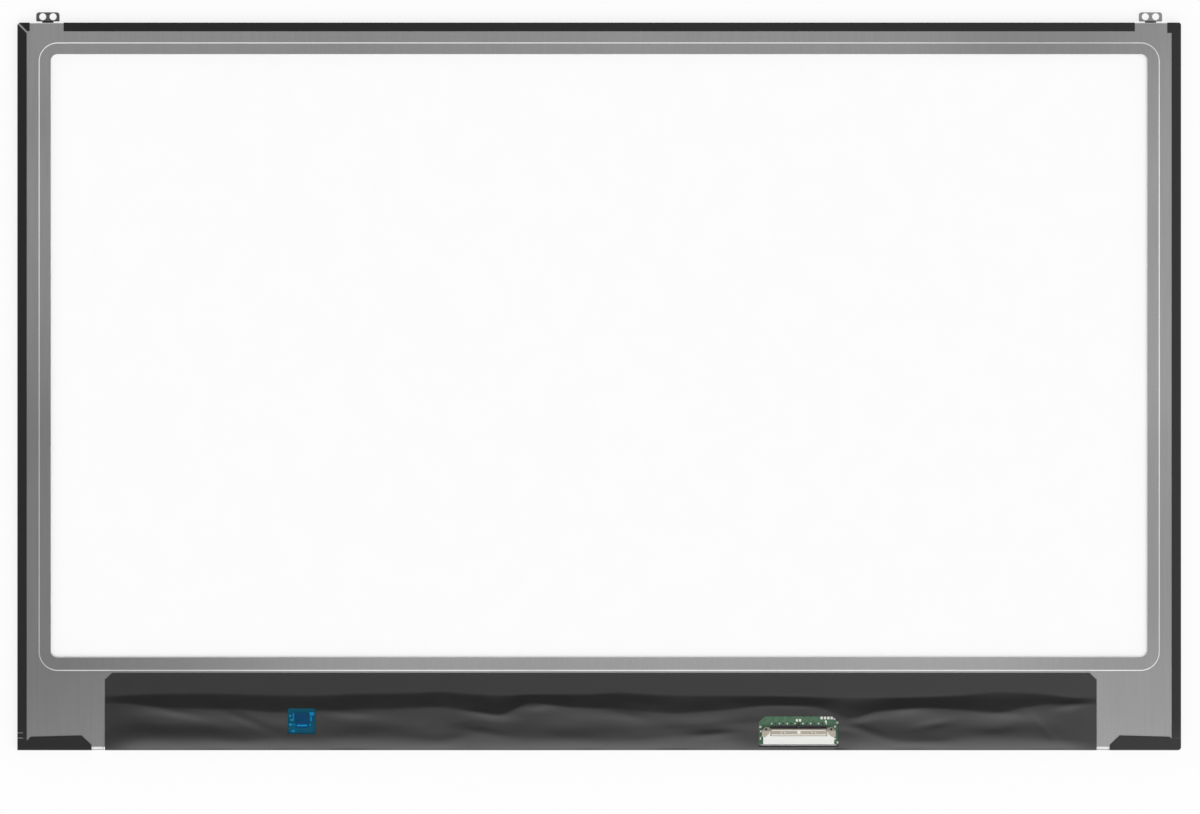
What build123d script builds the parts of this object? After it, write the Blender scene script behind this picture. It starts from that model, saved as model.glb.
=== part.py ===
from build123d import *
import os
from math import atan2, cos, exp, pi, sin

os.makedirs("parts", exist_ok=True)

# A slim 14-inch liquid-crystal panel that lies on its picture face. All sizes are in millimetres.
# The origin is the middle of the outline on the picture face, +Z points out of the panel's back,
# +Y points to the edge with the two ears and -Y to the edge with the control board.

# Picture area and the borders between it and the outline
active_width = 309.4
active_height = 174.0
side_border = 3.2
top_border = 3.1

# Layers, from the picture face to the back
front_polariser_thickness = 0.12
glass_thickness = 0.30
rear_polariser_thickness = 0.12
rim_tape_thickness = 0.06
upper_prism_thickness = 0.13
lower_prism_thickness = 0.12
diffuser_thickness = 0.10
guide_thickness = 0.55
reflector_thickness = 0.18
plate_thickness = 0.20
tape_thickness = 0.08
film_thickness = 0.08

# Liquid-crystal cell
polariser_margin = 0.5
glass_inset = 0.7
filter_glass_drop = 2.2
array_glass_ledge = 2.6
rear_polariser_inset = 0.8

# Mould frame and the space that the optical sheets have in it
frame_bar = 2.17
frame_clearance = 0.05
frame_edge_chamfer = 0.15
optics_clearance = 0.2
rim_tape_inset = 0.27
rim_tape_lap = 0.3
corner_block_length = 22.97
corner_block_chamfer = 0.3
corner_block_radius = 1.1
tab_width = 16.0
tab_lap = 1.5
tongue_lap = 1.6
tongue_height = 9.0
peg_clearance = 0.08
sheet_tab_width = 9.0
sheet_tab_depth = 0.9
sheet_tab_spacing = 96.0
sheet_tab_count = 3
lug_width = 5.0
lug_depth = 0.9
lug_drop = 52.0

# Light bar along the lower edge of the light guide
guide_run_out = 2.71
led_gap = 0.08
led_depth = 1.2
led_width = 3.8
led_pitch = 8.0
led_clearance = 0.10
bar_wall = 2.15
ledge_lap = 0.9
flex_thickness = 0.13
flex_end_margin = 5.0
flex_lap = 0.27
flex_tail_width = 12.0
flex_tail_lap = 2.6
flex_tail_x = -58.0

# Stamped back plate
wall_gap = 0.03
bend_radius = 0.3
tray_corner_radius = 0.6
corner_relief = 0.8
window_inset_side = 5.9
window_inset_top = 5.51
window_inset_bottom = 4.72
window_radius = 1.9
lip_side = 3.28
lip_top = 3.2
lip_bottom = 3.55
lip_rise = 0.25
lip_slope_angle = 50.0
plate_overhang = 1.2
arm_margin = 0.96

# Ears on the plate's top wall
ear_inset = 8.18
ear_width = 6.33
ear_height = 2.47
ear_gap = 0.39
ear_top_radius = 0.8
ear_foot_radius = 0.3
ear_neck_width = 3.05
ear_hole_radius = 0.95
ear_hole_spacing = 2.8
ear_web = 0.25

# Control board and what it carries
board_gap = 2.6
board_height = 10.82
board_thickness = 0.45
board_margin = 0.64
board_end_gap = 2.2
board_notch_radius = 0.7
chip_height = 0.70
coil_height = 0.85
small_part_height = 0.35

# Source films and their driver chips
source_count = 4
source_width = 38.0
source_thickness = 0.06
source_lap = 2.0
source_bend = 0.35
source_dip = 0.35
source_drop_run = 1.3
driver_length = 22.0
driver_depth = 1.0
driver_height = 0.3
driver_gap = 0.35

# Signal connector
connector_x = 54.1
connector_contacts_count = 30
contact_pitch = 0.5
contact_width = 0.22
contact_thickness = 0.1
housing_depth = 4.05
housing_height = 0.98
housing_setback = 1.02
slot_end_margin = 0.75
slot_height = 0.5
slot_floor = 0.25
shell_length = 20.0
shell_thickness = 0.12
shell_clearance = 0.28
shell_depth = 2.0
shell_bead_height = 0.06
hook_width = 2.25
hook_crown = 0.54
hook_toe = 0.95
hook_hole_radius = 0.35
tail_length = 1.0

# Cover film over the board, with its two cut-outs
film_side_lap = 1.58
film_shift = 0.42
film_top_gap = 0.51
film_strip = 5.5
film_slope = 3.7
film_stand_off = 0.5
film_corner_chamfer = 1.9
film_flap = 5.0
film_flap_end_gap = 2.0
film_edge_fall = 2.5
film_edge_drop = 0.34
film_end_drop = 0.08
film_end_gap = 0.10
film_lip_rise = 0.15
film_lip_drop = 0.12
film_rise_share = 0.16
film_edge_share = 0.45
inspection_x = -80.73
inspection_width = 7.46
inspection_height = 6.9
inspection_top_drop = 0.1
inspection_lap = 0.4
window_film_thickness = 0.05
cut_out_length = 21.68
cut_out_top_drop = 2.49
cut_out_edge_strip = 1.32
cut_out_chamfer = 1.7
film_wave = 0.05
film_wave_length = 31.0
film_station_step = 12.0

# Edge and corner tapes
side_tape_width = 2.58
top_tape_width = 2.41
top_tape_end_gap = 12.6
mitre_gap = 0.5
top_left_length = 3.36
top_left_width = 2.34
top_right_length = 3.76
top_right_width = 2.86
bottom_left_length = 20.15
bottom_right_length = 19.4
bottom_tape_height = 4.08
bottom_tape_end_rise = 1.52
bottom_tape_chamfer = 2.7
bottom_tape_slant = 0.38
bottom_tape_notch = 1.1
bottom_tape_radius = 0.9
bottom_tape_seam = 3.34
seam_gap = 0.05
polariser_clearance = 0.1

# Outline, worked out from the picture area and the chain of pieces below it
bar_depth = guide_run_out + led_gap + led_depth + led_clearance + bar_wall
board_depth = board_gap + board_height + board_margin + film_thickness
half_width = active_width / 2 + side_border
half_height = (top_border + active_height + bar_depth + board_depth) / 2
active_top = half_height - top_border
active_bottom = active_top - active_height

# Levels of the layers
glass_front = front_polariser_thickness
glass_split = glass_front + glass_thickness
glass_back = glass_split + glass_thickness
cell_back = glass_back + rear_polariser_thickness
frame_front = cell_back + rim_tape_thickness
lower_prism_front = frame_front + upper_prism_thickness
diffuser_front = lower_prism_front + lower_prism_thickness
guide_front = diffuser_front + diffuser_thickness
guide_back = guide_front + guide_thickness
plate_front = guide_back + reflector_thickness
plate_back = plate_front + plate_thickness
flex_front = plate_front - flex_thickness
board_back = flex_front
board_front = board_back - board_thickness
wall_front = glass_back + wall_gap

# Edges of the plate, the frame and the optical sheets
wall_x = half_width - tape_thickness
wall_y = half_height - tape_thickness
frame_x = wall_x - plate_thickness - frame_clearance
frame_y = wall_y - plate_thickness - frame_clearance
opening_x = frame_x - frame_bar
opening_y = frame_y - frame_bar
optics_x = opening_x - optics_clearance
optics_top = opening_y - optics_clearance
guide_bottom = active_bottom - guide_run_out
ledge_top = guide_bottom + ledge_lap
sheets_bottom = ledge_top + optics_clearance
led_top = guide_bottom - led_gap
led_bottom = led_top - led_depth
bar_wall_top = led_bottom - led_clearance
bar_bottom = bar_wall_top - bar_wall
board_top = bar_bottom - board_gap
board_bottom = board_top - board_height
film_bottom = -half_height
block_bottom = -wall_y
block_inner = frame_x - corner_block_length
board_x = block_inner - board_end_gap
glass_x = half_width - glass_inset
glass_top = half_height - glass_inset
filter_bottom = active_bottom - filter_glass_drop
array_bottom = filter_bottom - array_glass_ledge
flex_top = led_top + flex_lap
flex_bottom = bar_bottom
flex_x = optics_x - flex_end_margin

# Front polariser: the picture face on which the panel lies
polariser_x = active_width / 2 + polariser_margin
polariser_top = active_top + polariser_margin
polariser_bottom = active_bottom - polariser_margin

with BuildPart() as front_polariser:
    with BuildSketch(Plane.XY):
        with Locations((0, (polariser_top + polariser_bottom) / 2)):
            Rectangle(2 * polariser_x, polariser_top - polariser_bottom)
    extrude(amount=front_polariser_thickness)
front_polariser.part.label = "front_polariser"
export_step(front_polariser.part, "parts/front_polariser.step")

# Colour filter glass: the front pane of the cell
with BuildPart() as colour_filter_glass:
    with BuildSketch(Plane.XY.offset(glass_front)):
        with Locations((0, (glass_top + filter_bottom) / 2)):
            Rectangle(2 * glass_x, glass_top - filter_bottom)
    extrude(amount=glass_thickness)
colour_filter_glass.part.label = "colour_filter_glass"
export_step(colour_filter_glass.part, "parts/colour_filter_glass.step")

# Array glass: the rear pane, longer below by the ledge that takes the source films
with BuildPart() as array_glass:
    with BuildSketch(Plane.XY.offset(glass_split)):
        with Locations((0, (glass_top + array_bottom) / 2)):
            Rectangle(2 * glass_x, glass_top - array_bottom)
    extrude(amount=glass_thickness)
array_glass.part.label = "array_glass"
export_step(array_glass.part, "parts/array_glass.step")

# Rear polariser on the back of the cell
rear_polariser_x = glass_x - rear_polariser_inset
rear_polariser_top = glass_top - rear_polariser_inset

with BuildPart() as rear_polariser:
    with BuildSketch(Plane.XY.offset(glass_back)):
        with Locations((0, (rear_polariser_top + filter_bottom) / 2)):
            Rectangle(2 * rear_polariser_x, rear_polariser_top - filter_bottom)
    extrude(amount=rear_polariser_thickness)
rear_polariser.part.label = "rear_polariser"
export_step(rear_polariser.part, "parts/rear_polariser.step")

# Rim tape: the black ring that holds the cell on the frame and laps over the optical sheets
rim_x = frame_x - rim_tape_inset
rim_top = frame_y - rim_tape_inset
rim_bottom = bar_wall_top - rim_tape_inset
rim_opening_x = optics_x - rim_tape_lap
rim_opening_top = optics_top - rim_tape_lap
rim_opening_bottom = sheets_bottom + rim_tape_lap

with BuildPart() as rim_tape:
    with BuildSketch(Plane.XY.offset(cell_back)):
        with Locations((0, (rim_top + rim_bottom) / 2)):
            Rectangle(2 * rim_x, rim_top - rim_bottom)
        with Locations((0, (rim_opening_top + rim_opening_bottom) / 2)):
            Rectangle(2 * rim_opening_x, rim_opening_top - rim_opening_bottom, mode=Mode.SUBTRACT)
    extrude(amount=rim_tape_thickness)
rim_tape.part.label = "rim_tape"
export_step(rim_tape.part, "parts/rim_tape.step")

# Optical sheets: two prism sheets on a diffuser, all cut to the frame's opening, with tabs along
# the top edge that lie in the frame's recesses
optical_sheets = [
    ("upper_prism_sheet", frame_front, upper_prism_thickness),
    ("lower_prism_sheet", lower_prism_front, lower_prism_thickness),
    ("diffuser_sheet", diffuser_front, diffuser_thickness),
]
for sheet_name, sheet_front, sheet_thickness in optical_sheets:
    with BuildPart() as optical_sheet:
        with BuildSketch(Plane.XY.offset(sheet_front)):
            with Locations((0, (optics_top + sheets_bottom) / 2)):
                Rectangle(2 * optics_x, optics_top - sheets_bottom)
            with Locations((0, optics_top + sheet_tab_depth / 2)):
                with GridLocations(sheet_tab_spacing, 1, sheet_tab_count, 1):
                    Rectangle(sheet_tab_width, sheet_tab_depth)
        extrude(amount=sheet_thickness)
    optical_sheet.part.label = sheet_name
    export_step(optical_sheet.part, f"parts/{sheet_name}.step")

# Light guide: a clear plate that takes the light in at its lower edge, held by a lug on each side
lug_y = opening_y - lug_drop

with BuildPart() as light_guide:
    with BuildSketch(Plane.XY.offset(guide_front)):
        with Locations((0, (optics_top + guide_bottom) / 2)):
            Rectangle(2 * optics_x, optics_top - guide_bottom)
        with Locations((0, lug_y)):
            Rectangle(2 * (optics_x + lug_depth), lug_width)
    extrude(amount=guide_thickness)
light_guide.part.label = "light_guide"
export_step(light_guide.part, "parts/light_guide.step")

# Reflector sheet: white, behind the guide, and seen through the plate's window
reflector_bottom = flex_top + optics_clearance

with BuildPart() as reflector_sheet:
    with BuildSketch(Plane.XY.offset(guide_back)):
        with Locations((0, (optics_top + reflector_bottom) / 2)):
            Rectangle(2 * optics_x, optics_top - reflector_bottom)
    extrude(amount=reflector_thickness)
reflector_sheet.part.label = "reflector_sheet"
export_step(reflector_sheet.part, "parts/reflector_sheet.step")

# LEDs: side-firing packages in a row between the frame's ledge and their flexible circuit
led_count = int(2 * flex_x // led_pitch)

with BuildPart() as leds:
    with BuildSketch(Plane.XY.offset(guide_front)):
        with Locations((0, (led_top + led_bottom) / 2)):
            with GridLocations(led_pitch, 1, led_count, 1):
                Rectangle(led_width, led_depth)
    extrude(amount=flex_front - guide_front)
leds.part.label = "leds"
export_step(leds.part, "parts/leds.step")

# LED flexible circuit, with a tail that lies on the back of the control board
flex_tail_end = board_top - flex_tail_lap

with BuildPart() as led_flex:
    with BuildSketch(Plane.XY.offset(flex_front)):
        with Locations((0, (flex_top + flex_bottom) / 2)):
            Rectangle(2 * flex_x, flex_top - flex_bottom)
        with Locations((flex_tail_x, (flex_bottom + flex_tail_end) / 2)):
            Rectangle(flex_tail_width, flex_bottom - flex_tail_end)
    extrude(amount=flex_thickness)
led_flex.part.label = "led_flex"
export_step(led_flex.part, "parts/led_flex.step")

# Mould frame: a white moulded ring with recesses for the sheets' tabs and the guide's lugs, a
# stepped light bar, two corner blocks beside the board, tongues under the board's ends with a peg
# each, and tabs under its upper edge between the source films
source_pitch = 2 * board_x / source_count
tongue_x = board_x - tongue_lap
tab_end = board_top - tab_lap
frame_middle = (frame_y + bar_bottom) / 2
board_middle = (board_top + board_bottom) / 2
recess_x = opening_x + lug_depth
recess_width = lug_width + 2 * optics_clearance
peg_radius = board_notch_radius - peg_clearance

with BuildPart() as mould_frame:
    with BuildSketch(Plane.XY.offset(frame_front)):
        with Locations((0, frame_middle)):
            Rectangle(2 * frame_x, frame_y - bar_bottom)
        with Locations((0, (opening_y + ledge_top) / 2)):
            Rectangle(2 * opening_x, opening_y - ledge_top, mode=Mode.SUBTRACT)
        with Locations((0, opening_y + sheet_tab_depth / 2)):
            with GridLocations(sheet_tab_spacing, 1, sheet_tab_count, 1):
                Rectangle(sheet_tab_width + 2 * optics_clearance, sheet_tab_depth, mode=Mode.SUBTRACT)
    extrude(amount=guide_front - frame_front)
    with BuildSketch(Plane.XY.offset(guide_front)):
        with Locations((0, frame_middle)):
            Rectangle(2 * frame_x, frame_y - bar_bottom)
        with Locations((0, (opening_y + bar_wall_top) / 2)):
            Rectangle(2 * opening_x, opening_y - bar_wall_top, mode=Mode.SUBTRACT)
        with Locations((0, lug_y)):
            Rectangle(2 * recess_x, recess_width, mode=Mode.SUBTRACT)
    extrude(amount=flex_front - guide_front)
    with BuildSketch(Plane.XY.offset(flex_front)):
        with Locations((0, frame_middle)):
            Rectangle(2 * frame_x, frame_y - bar_bottom)
        with Locations((0, (opening_y + bar_bottom) / 2)):
            Rectangle(2 * opening_x, opening_y - bar_bottom, mode=Mode.SUBTRACT)
        with Locations((0, lug_y)):
            Rectangle(2 * recess_x, recess_width, mode=Mode.SUBTRACT)
    extrude(amount=plate_front - flex_front)
    with BuildSketch(Plane.XY.offset(glass_front)):
        for side in (-1, 1):
            with Locations((side * (frame_x + block_inner) / 2, (bar_bottom + block_bottom) / 2)):
                Rectangle(corner_block_length, bar_bottom - block_bottom)
    extrude(amount=plate_front - glass_front)
    with BuildSketch(Plane.XY.offset(frame_front)):
        for side in (-1, 1):
            with Locations((side * (tongue_x + block_inner) / 2, board_middle)):
                Rectangle(block_inner - tongue_x, tongue_height)
        with Locations((0, (bar_bottom + tab_end) / 2)):
            with GridLocations(source_pitch, 1, source_count - 1, 1):
                Rectangle(tab_width, bar_bottom - tab_end)
    extrude(amount=board_front - frame_front)
    with BuildSketch(Plane.XY.offset(board_front)):
        with Locations((-board_x, board_middle), (board_x, board_middle)):
            Circle(peg_radius)
    extrude(amount=board_thickness)
    upright_corners = mould_frame.edges().filter_by(Axis.Z).group_by(Axis.Y)[0]
    outer_corners = upright_corners.sort_by(Axis.X)
    fillet([outer_corners[0], outer_corners[-1]], radius=corner_block_radius)
    back_edges = mould_frame.faces().sort_by(Axis.Z)[-1].outer_wire().edges()
    long_edges = back_edges.filter_by(Axis.Y).group_by(SortBy.LENGTH)[-1]
    chamfer([long_edges, back_edges.sort_by(Axis.Y)[-1]], length=frame_edge_chamfer)
    with BuildSketch(Plane.YZ.offset(-frame_x)):
        with BuildLine():
            Polyline(
                (block_bottom, plate_front - corner_block_chamfer),
                (block_bottom + corner_block_chamfer, plate_front),
                (block_bottom, plate_front),
                close=True,
            )
        make_face()
    extrude(amount=2 * frame_x, mode=Mode.SUBTRACT)
mould_frame.part.label = "mould_frame"
export_step(mould_frame.part, "parts/mould_frame.step")

# Back plate: one stamped steel tray, open at the picture side and along the board. A lip round its
# window is pressed out of the sheet, two arms run down beside the board, and an ear with two holes
# is bent out of the top wall near each end
window_x = active_width / 2 - window_inset_side
window_top = active_top - window_inset_top
window_bottom = active_bottom + window_inset_bottom
lip_x = window_x + lip_side
lip_upper = window_top + lip_top
lip_lower = window_bottom - lip_bottom
lip_middle = (lip_upper + lip_lower) / 2
lip_radius = window_radius + lip_side
arm_bottom = -half_height + arm_margin
arm_inner = board_x + (block_inner - board_x) / 4
plate_edge = bar_bottom - plate_overhang
ear_x = half_width - ear_inset
ear_bottom = half_height + ear_gap
ear_top = ear_bottom + ear_height
ear_hole_y = ear_top - ear_web - ear_hole_radius

with BuildPart() as back_plate:
    with BuildSketch(Plane.XY.offset(wall_front)):
        with Locations((0, (wall_y + arm_bottom) / 2)):
            Rectangle(2 * wall_x, wall_y - arm_bottom)
    extrude(amount=plate_back - wall_front)
    tray_corners = back_plate.edges().filter_by(Axis.Z).group_by(Axis.Y)[-1]
    fillet(tray_corners, radius=tray_corner_radius)
    sheet_edges = back_plate.faces().sort_by(Axis.Z)[-1].edges()
    bend_edges = sheet_edges.sort_by(Axis.Y)[1:]
    fillet(bend_edges, radius=bend_radius)
    open_front = back_plate.faces().sort_by(Axis.Z)[0]
    open_bottom = back_plate.faces().filter_by(Axis.Y).sort_by(Axis.Y)[0]
    offset(amount=-plate_thickness, openings=[open_front, open_bottom])
    with BuildSketch(Plane.XY.offset(plate_back)):
        with Locations((0, lip_middle)):
            RectangleRounded(2 * lip_x, lip_upper - lip_lower, lip_radius)
    extrude(amount=lip_rise, taper=lip_slope_angle)
    with BuildSketch(Plane.XY.offset(plate_front)):
        with Locations((0, lip_middle)):
            RectangleRounded(2 * lip_x, lip_upper - lip_lower, lip_radius)
    extrude(amount=lip_rise, taper=lip_slope_angle, mode=Mode.SUBTRACT)
    with BuildSketch(Plane.XY.offset(plate_front)):
        with Locations((0, (window_top + window_bottom) / 2)):
            RectangleRounded(2 * window_x, window_top - window_bottom, window_radius)
        with Locations((0, (plate_edge + arm_bottom) / 2)):
            Rectangle(2 * arm_inner, plate_edge - arm_bottom)
    extrude(amount=plate_thickness + lip_rise, mode=Mode.SUBTRACT)
    with BuildSketch(Plane.XY.offset(wall_front)):
        with Locations((-wall_x, wall_y), (wall_x, wall_y)):
            Rectangle(2 * corner_relief, 2 * corner_relief)
    extrude(amount=plate_front - wall_front, mode=Mode.SUBTRACT)
    for side in (-1, 1):
        with BuildSketch(Plane.XY.offset(wall_front)) as ear:
            with Locations((side * ear_x, (ear_top + ear_bottom) / 2)):
                Rectangle(ear_width, ear_height)
            fillet(ear.vertices().group_by(Axis.Y)[-1], radius=ear_top_radius)
            fillet(ear.vertices().group_by(Axis.Y)[0], radius=ear_foot_radius)
            with Locations((side * ear_x, (wall_y - plate_thickness + ear_bottom) / 2)):
                Rectangle(ear_neck_width, ear_bottom - wall_y + plate_thickness)
            with Locations((side * ear_x, ear_hole_y)):
                with GridLocations(ear_hole_spacing, 1, 2, 1):
                    Circle(ear_hole_radius, mode=Mode.SUBTRACT)
        extrude(amount=plate_thickness)
back_plate.part.label = "back_plate"
export_step(back_plate.part, "parts/back_plate.step")

# Control board: a long strip with a notch in each end for the frame's peg
with BuildPart() as control_board:
    with BuildSketch(Plane.XY.offset(board_front)):
        with Locations((0, board_middle)):
            Rectangle(2 * board_x, board_height)
        with Locations((-board_x, board_middle), (board_x, board_middle)):
            Circle(board_notch_radius, mode=Mode.SUBTRACT)
    extrude(amount=board_thickness)
control_board.part.label = "control_board"
export_step(control_board.part, "parts/control_board.step")

# Source films: thin flexible circuits from the front of the glass ledge, down past the light bar
# and on to the front of the board, each with a long driver chip in the gap above the board
source_upper = glass_split - source_thickness / 2
source_lower = board_front - source_thickness / 2
source_start = array_bottom + source_lap
source_turn = bar_bottom + source_dip
source_land = source_turn - source_drop_run
source_end = board_top - source_lap
driver_y = board_top + driver_gap + driver_depth / 2

for index in range(source_count):
    source_x = (index - (source_count - 1) / 2) * source_pitch
    with BuildPart() as source_film:
        side_plane = Plane(origin=(source_x - source_width / 2, 0, 0), x_dir=(0, 1, 0), z_dir=(1, 0, 0))
        with BuildSketch(side_plane):
            with BuildLine():
                FilletPolyline(
                    (source_start, source_upper),
                    (source_turn, source_upper),
                    (source_land, source_lower),
                    (source_end, source_lower),
                    radius=source_bend,
                )
            trace(line_width=source_thickness)
        extrude(amount=source_width)
    source_film.part.label = f"source_film_{index + 1}"
    export_step(source_film.part, f"parts/source_film_{index + 1}.step")
    with BuildPart() as driver_chip:
        with BuildSketch(Plane.XY.offset(board_front)):
            with Locations((source_x, driver_y)):
                Rectangle(driver_length, driver_depth)
        extrude(amount=driver_height)
    driver_chip.part.label = f"driver_chip_{index + 1}"
    export_step(driver_chip.part, f"parts/driver_chip_{index + 1}.step")

# Chips on the back of the board, each a moulded block: name, x, drop below the board's top, width, depth
timing_x = 14.0
power_x = -41.0
light_x = 86.0
setting_x = -80.57
board_chips = [
    ("timing_chip", timing_x, 4.9, 8.0, 6.0),
    ("power_chip", power_x, 4.6, 4.0, 4.0),
    ("light_driver_chip", light_x, 4.6, 4.0, 4.0),
    ("setting_chip", setting_x, 2.83, 4.0, 2.85),
]
chip_edge_chamfer = 0.1
for chip_name, chip_x, chip_drop, chip_width, chip_depth in board_chips:
    with BuildPart() as board_chip:
        with BuildSketch(Plane.XY.offset(board_back)):
            with Locations((chip_x, board_top - chip_drop)):
                Rectangle(chip_width, chip_depth)
        extrude(amount=chip_height)
        chamfer(board_chip.faces().sort_by(Axis.Z)[-1].edges(), length=chip_edge_chamfer)
    board_chip.part.label = chip_name
    export_step(board_chip.part, f"parts/{chip_name}.step")

# Resistor network just below the setting chip, seen with it through the inspection window
network_width = 3.6
network_depth = 1.3
network_drop = 4.95

with BuildPart() as resistor_network:
    with BuildSketch(Plane.XY.offset(board_back)):
        with Locations((setting_x, board_top - network_drop)):
            Rectangle(network_width, network_depth)
    extrude(amount=small_part_height)
resistor_network.part.label = "resistor_network"
export_step(resistor_network.part, "parts/resistor_network.step")

# Coils of the power supplies: squat shielded blocks with cut corners
coil_places = [-29.5, -17.0, 98.0]
coil_size = 4.6
coil_corner = 0.9
coil_drop = 4.6

with BuildPart() as coils:
    with BuildSketch(Plane.XY.offset(board_back)) as coil_outlines:
        with Locations(*[(coil_x, board_top - coil_drop) for coil_x in coil_places]):
            Rectangle(coil_size, coil_size)
        chamfer(coil_outlines.vertices(), length=coil_corner)
    extrude(amount=coil_height)
coils.part.label = "coils"
export_step(coils.part, "parts/coils.step")

# Capacitors in rows along the board's lower half, and smaller resistors above them
capacitor_width = 1.6
capacitor_depth = 0.8
capacitor_height = 0.5
capacitor_pitch = 2.4
capacitor_drop = 8.4
capacitor_row = 7
capacitor_places = [-100.0, -62.0, -23.0, 27.0, 92.0]
resistor_width = 1.0
resistor_depth = 0.5
resistor_pitch = 1.7
resistor_drop = 7.2
resistor_row = 7

with BuildPart() as capacitors:
    for row_x in capacitor_places:
        with BuildSketch(Plane.XY.offset(board_back)):
            with Locations((row_x, board_top - capacitor_drop)):
                with GridLocations(capacitor_pitch, 1, capacitor_row, 1):
                    Rectangle(capacitor_width, capacitor_depth)
        extrude(amount=capacitor_height)
capacitors.part.label = "capacitors"
export_step(capacitors.part, "parts/capacitors.step")

with BuildPart() as resistors:
    for row_x in capacitor_places:
        with BuildSketch(Plane.XY.offset(board_back)):
            with Locations((row_x, board_top - resistor_drop)):
                with GridLocations(resistor_pitch, 1, resistor_row, 1):
                    Rectangle(resistor_width, resistor_depth)
        extrude(amount=small_part_height)
resistors.part.label = "resistors"
export_step(resistors.part, "parts/resistors.step")

# Signal connector housing: a white moulded block with one wide slot that opens at the board's edge
housing_length = shell_length - 2 * (shell_thickness + shell_clearance)
contact_span = (connector_contacts_count - 1) * contact_pitch
slot_length = contact_span + 2 * slot_end_margin
housing_mouth = board_bottom + housing_setback
housing_rear = housing_mouth + housing_depth
housing_back = board_back + housing_height
slot_bottom = board_back + slot_floor
mouth_chamfer = 0.12

with BuildPart() as connector_housing:
    with BuildSketch(Plane.XY.offset(board_back)):
        with Locations((connector_x, (housing_mouth + housing_rear) / 2)):
            Rectangle(housing_length, housing_depth)
    extrude(amount=housing_height)
    with BuildSketch(Plane.XZ.offset(-housing_mouth)):
        with Locations((connector_x, slot_bottom + slot_height / 2)):
            Rectangle(slot_length, slot_height)
    extrude(amount=-housing_depth, mode=Mode.SUBTRACT)
    mouth_face = connector_housing.faces().filter_by(Axis.Y).sort_by(Axis.Y)[0]
    chamfer(mouth_face.inner_wires()[0].edges(), length=mouth_chamfer)
connector_housing.part.label = "connector_housing"
export_step(connector_housing.part, "parts/connector_housing.step")

# Connector shell: a formed metal strap over the housing, stiffened by two beads, with a round window,
# two pairs of latch windows and a hook at each end whose leg stands on the board
shell_back = housing_back + shell_thickness
shell_rear = housing_rear + contact_thickness
shell_front = shell_rear - shell_depth
shell_end = connector_x + shell_length / 2
strap_end = shell_end - hook_width
hook_shoulder = 0.25
hook_crown_inset = 1.02
hook_leg_drop = 0.4
hook_leg_lap = 0.15
hook_leg_rear = shell_rear - hook_leg_drop
hook_leg_front = shell_front - hook_leg_lap
hook_toe_drop = 0.25
hook_throat_width = 0.35
hook_throat_drop = 1.35
hook_slit_drop = 0.45
hook_hole_inset = 1.17
hook_hole_drop = 0.14
middle_window_radius = 0.36
middle_window_drop = 0.93
latch_window_x = 4.14
latch_window_pitch = 0.95
latch_window_length = 0.5
latch_window_width = 0.35
latch_window_drop = 1.05
bead_width = 0.26
bead_end_gap = 0.4
bead_drop = 0.42
bead_spacing = 1.2

with BuildPart() as connector_shell:
    with BuildSketch(Plane.XY.offset(housing_back)):
        with BuildLine():
            Polyline(
                (connector_x, shell_rear),
                (strap_end, shell_rear),
                (strap_end, shell_rear + hook_shoulder),
                (shell_end - hook_crown_inset, shell_rear + hook_crown),
                (shell_end, hook_leg_rear),
                (shell_end, hook_leg_front),
                (shell_end - hook_toe, shell_front - hook_toe_drop),
                (strap_end + hook_throat_width, shell_rear - hook_throat_drop),
                (strap_end, shell_rear - hook_slit_drop),
                (strap_end, shell_front),
                (connector_x, shell_front),
                close=True,
            )
        make_face()
        with Locations((shell_end - hook_hole_inset, shell_rear - hook_hole_drop)):
            Circle(hook_hole_radius, mode=Mode.SUBTRACT)
        mirror(about=Plane.YZ.offset(connector_x))
        with Locations((connector_x, shell_rear - middle_window_drop)):
            Circle(middle_window_radius, mode=Mode.SUBTRACT)
        with Locations((connector_x, shell_rear - latch_window_drop)):
            with GridLocations(2 * latch_window_x, 1, 2, 1):
                with GridLocations(latch_window_pitch, 1, 2, 1):
                    Rectangle(latch_window_length, latch_window_width, mode=Mode.SUBTRACT)
    extrude(amount=shell_thickness)
    with BuildSketch(Plane.XY.offset(shell_back)):
        with Locations((connector_x, shell_rear - bead_drop - bead_spacing / 2)):
            with GridLocations(1, bead_spacing, 1, 2):
                Rectangle(2 * (strap_end - connector_x - bead_end_gap), bead_width)
    extrude(amount=shell_bead_height, taper=45)
    with BuildSketch(Plane.XY.offset(board_back)):
        with Locations((connector_x, (hook_leg_rear + hook_leg_front) / 2)):
            with GridLocations(shell_length - shell_thickness, 1, 2, 1):
                Rectangle(shell_thickness, hook_leg_rear - hook_leg_front)
    extrude(amount=housing_height)
connector_shell.part.label = "connector_shell"
export_step(connector_shell.part, "parts/connector_shell.step")

# Connector contacts: a row of bent strips, soldered to the board behind the housing and lying on
# the floor of its slot
contact_front = housing_mouth + 2 * mouth_chamfer
contact_step = housing_rear + contact_thickness
tail_end = contact_step + tail_length

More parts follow.
